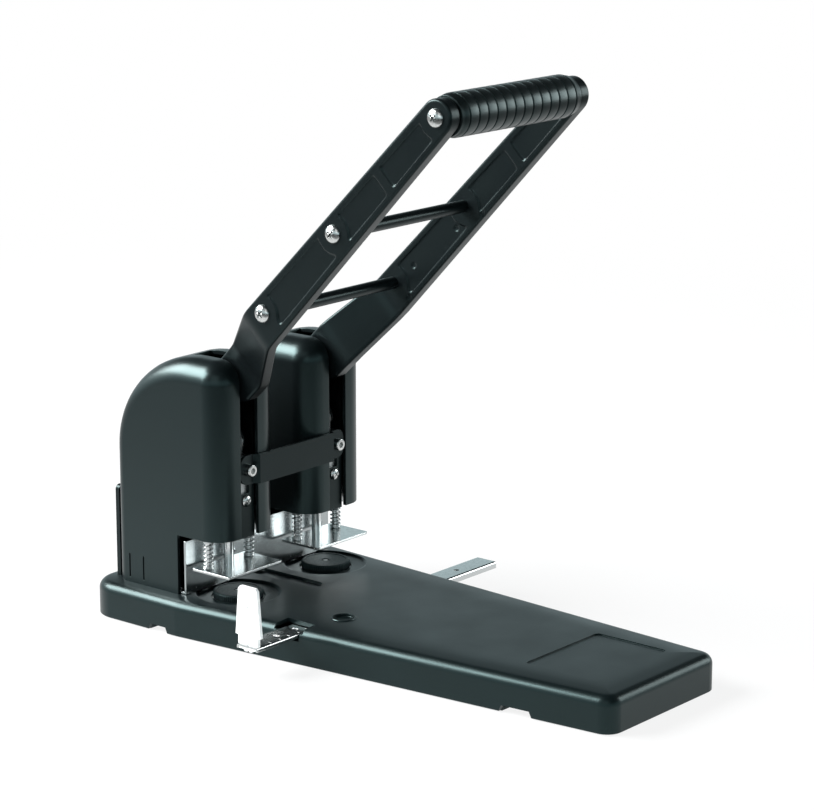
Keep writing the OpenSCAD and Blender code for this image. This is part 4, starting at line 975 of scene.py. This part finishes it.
# Radius, height and how deep the knurling cuts there, from the bore round to the bore again
disc_profile = [(2.15, disc_low, 0), (14.6, disc_low, 0), (15.2, disc_low + 0.5, 0.4),
                (15.2, disc_high - 0.9, 0.4), (14.8, disc_high - 0.35, 0.15),
                (14.3, disc_high - 0.05, 0), (13.6, disc_high, 0), (12.9, disc_high, 0),
                (12.6, disc_high - 0.25, 0), (3.2, disc_high - 0.25, 0),
                (2.9, disc_high - 0.1, 0), (2.15, disc_high - 0.1, 0)]
for side, suffix in sides:
    rings = []
    for radius, height, depth in disc_profile:
        ring = []
        for i in range(4 * tooth_count):
            a = 2 * math.pi * i / (4 * tooth_count)
            r = radius - (depth if i % 4 in (0, 1) else 0)
            ring.append((side * pin_x + r * math.cos(a), disc_y + r * math.sin(a), height))
        rings.append(ring)
    finished(solid("disc", rings, bored=True), "cutting_pad_" + suffix, suffix + "_disc",
             disc_nylon, ["cutting_disc_" + suffix], sharp=32)


# Paper guide
# A bent, nickel-plated steel channel slides through the base, and is printed with a plain scale.
# A white plastic stop is pushed onto its left end.

bar_y, bar_top, bar_low, bar_half = -74.5, 19.4, 15.2, 8
bend_r, bend_steps = 1.5, 6
bar_section = [(-bar_half, bar_low)]
for toward, first in ((1, 180), (-1, 90)):
    for i in range(bend_steps + 1):
        a = math.radians(first - 90 * i / bend_steps)
        bar_section.append((toward * (bend_r - bar_half) + bend_r * math.cos(a),
                            bar_top - bend_r + bend_r * math.sin(a)))
bar_section += [(bar_half, bar_low), (6.8, bar_low), (6.8, 17.8), (6.4, 18.2), (-6.4, 18.2),
                (-6.8, 17.8), (-6.8, bar_low)]
bar = solid("bar", [[(x, y + bar_y, z) for y, z in bar_section] for x in (-105, 117)])
# A round hole near the right end, the stop's slot at the left, and flanges cut low beside it
cut(bar, turned([(1.7, -6), (1.7, 2)], (87, bar_y, bar_top), "Z", 32),
    block((-104.25, -78.5, 16), (-101.75, -70.5, 21)),
    block((-106, -84, 14), (-64, -65, 16.8)))
finished(bar, "guide_bar_channel", "paper_guide", polish, ["guide_bar"], edge=0.15)

# Screen ink lies flat white on the steel, its gloss a little uneven
print_ink = new_material("white printing ink", ("E9ECEC",), (0.4, 0.6), (2500, 2), spread=(0, 1))
# Thin white polypropylene lets light 2 mm in, so it looks milky and its edges stay soft
stop_plastic = new_material("white polypropylene, slightly translucent", ("F3F5F5", "FAFBFA"),
                            (0.35,), (90, 3), (0.1, 0.0001, (90, 3)),
                            others={"IOR": 1.49, "Subsurface Weight": 0.25,
                                    "Subsurface Radius": (0.002, 0.002, 0.002)})

softened("paper_stop", "paper_guide", stop_plastic, 0.45, 3,
         extra=block((-104.9, -81.1, 17.0), (-101.8, -67.9, 18.1)))

# Plain numbers, and ticks 8 mm apart
ink_bits = []
for digit, x in (("8", -80.5), ("5", -64.0)):
    curve = bpy.data.curves.new("digit", "FONT")
    curve.body = digit
    curve.size = 6.0
    curve.extrude = 0.02
    curve.align_x = "CENTER"
    text = placed("digit", curve)
    digit_mesh = bpy.data.meshes.new_from_object(text)
    bpy.data.objects.remove(text)
    digit_mesh.transform(Matrix.Translation((x, -77.0, bar_top + 0.03)))
    ink_bits.append(placed("digit", digit_mesh))
for i in range(5):
    x = -92 + 8 * i
    ink_bits.append(block((x - 0.25, -81.6, bar_top + 0.01),
                          (x + 0.25, -80.2 if i % 2 else -79.2, bar_top + 0.05)))
finished(joined("ink", *ink_bits), "guide_bar_scale", "paper_guide", print_ink)
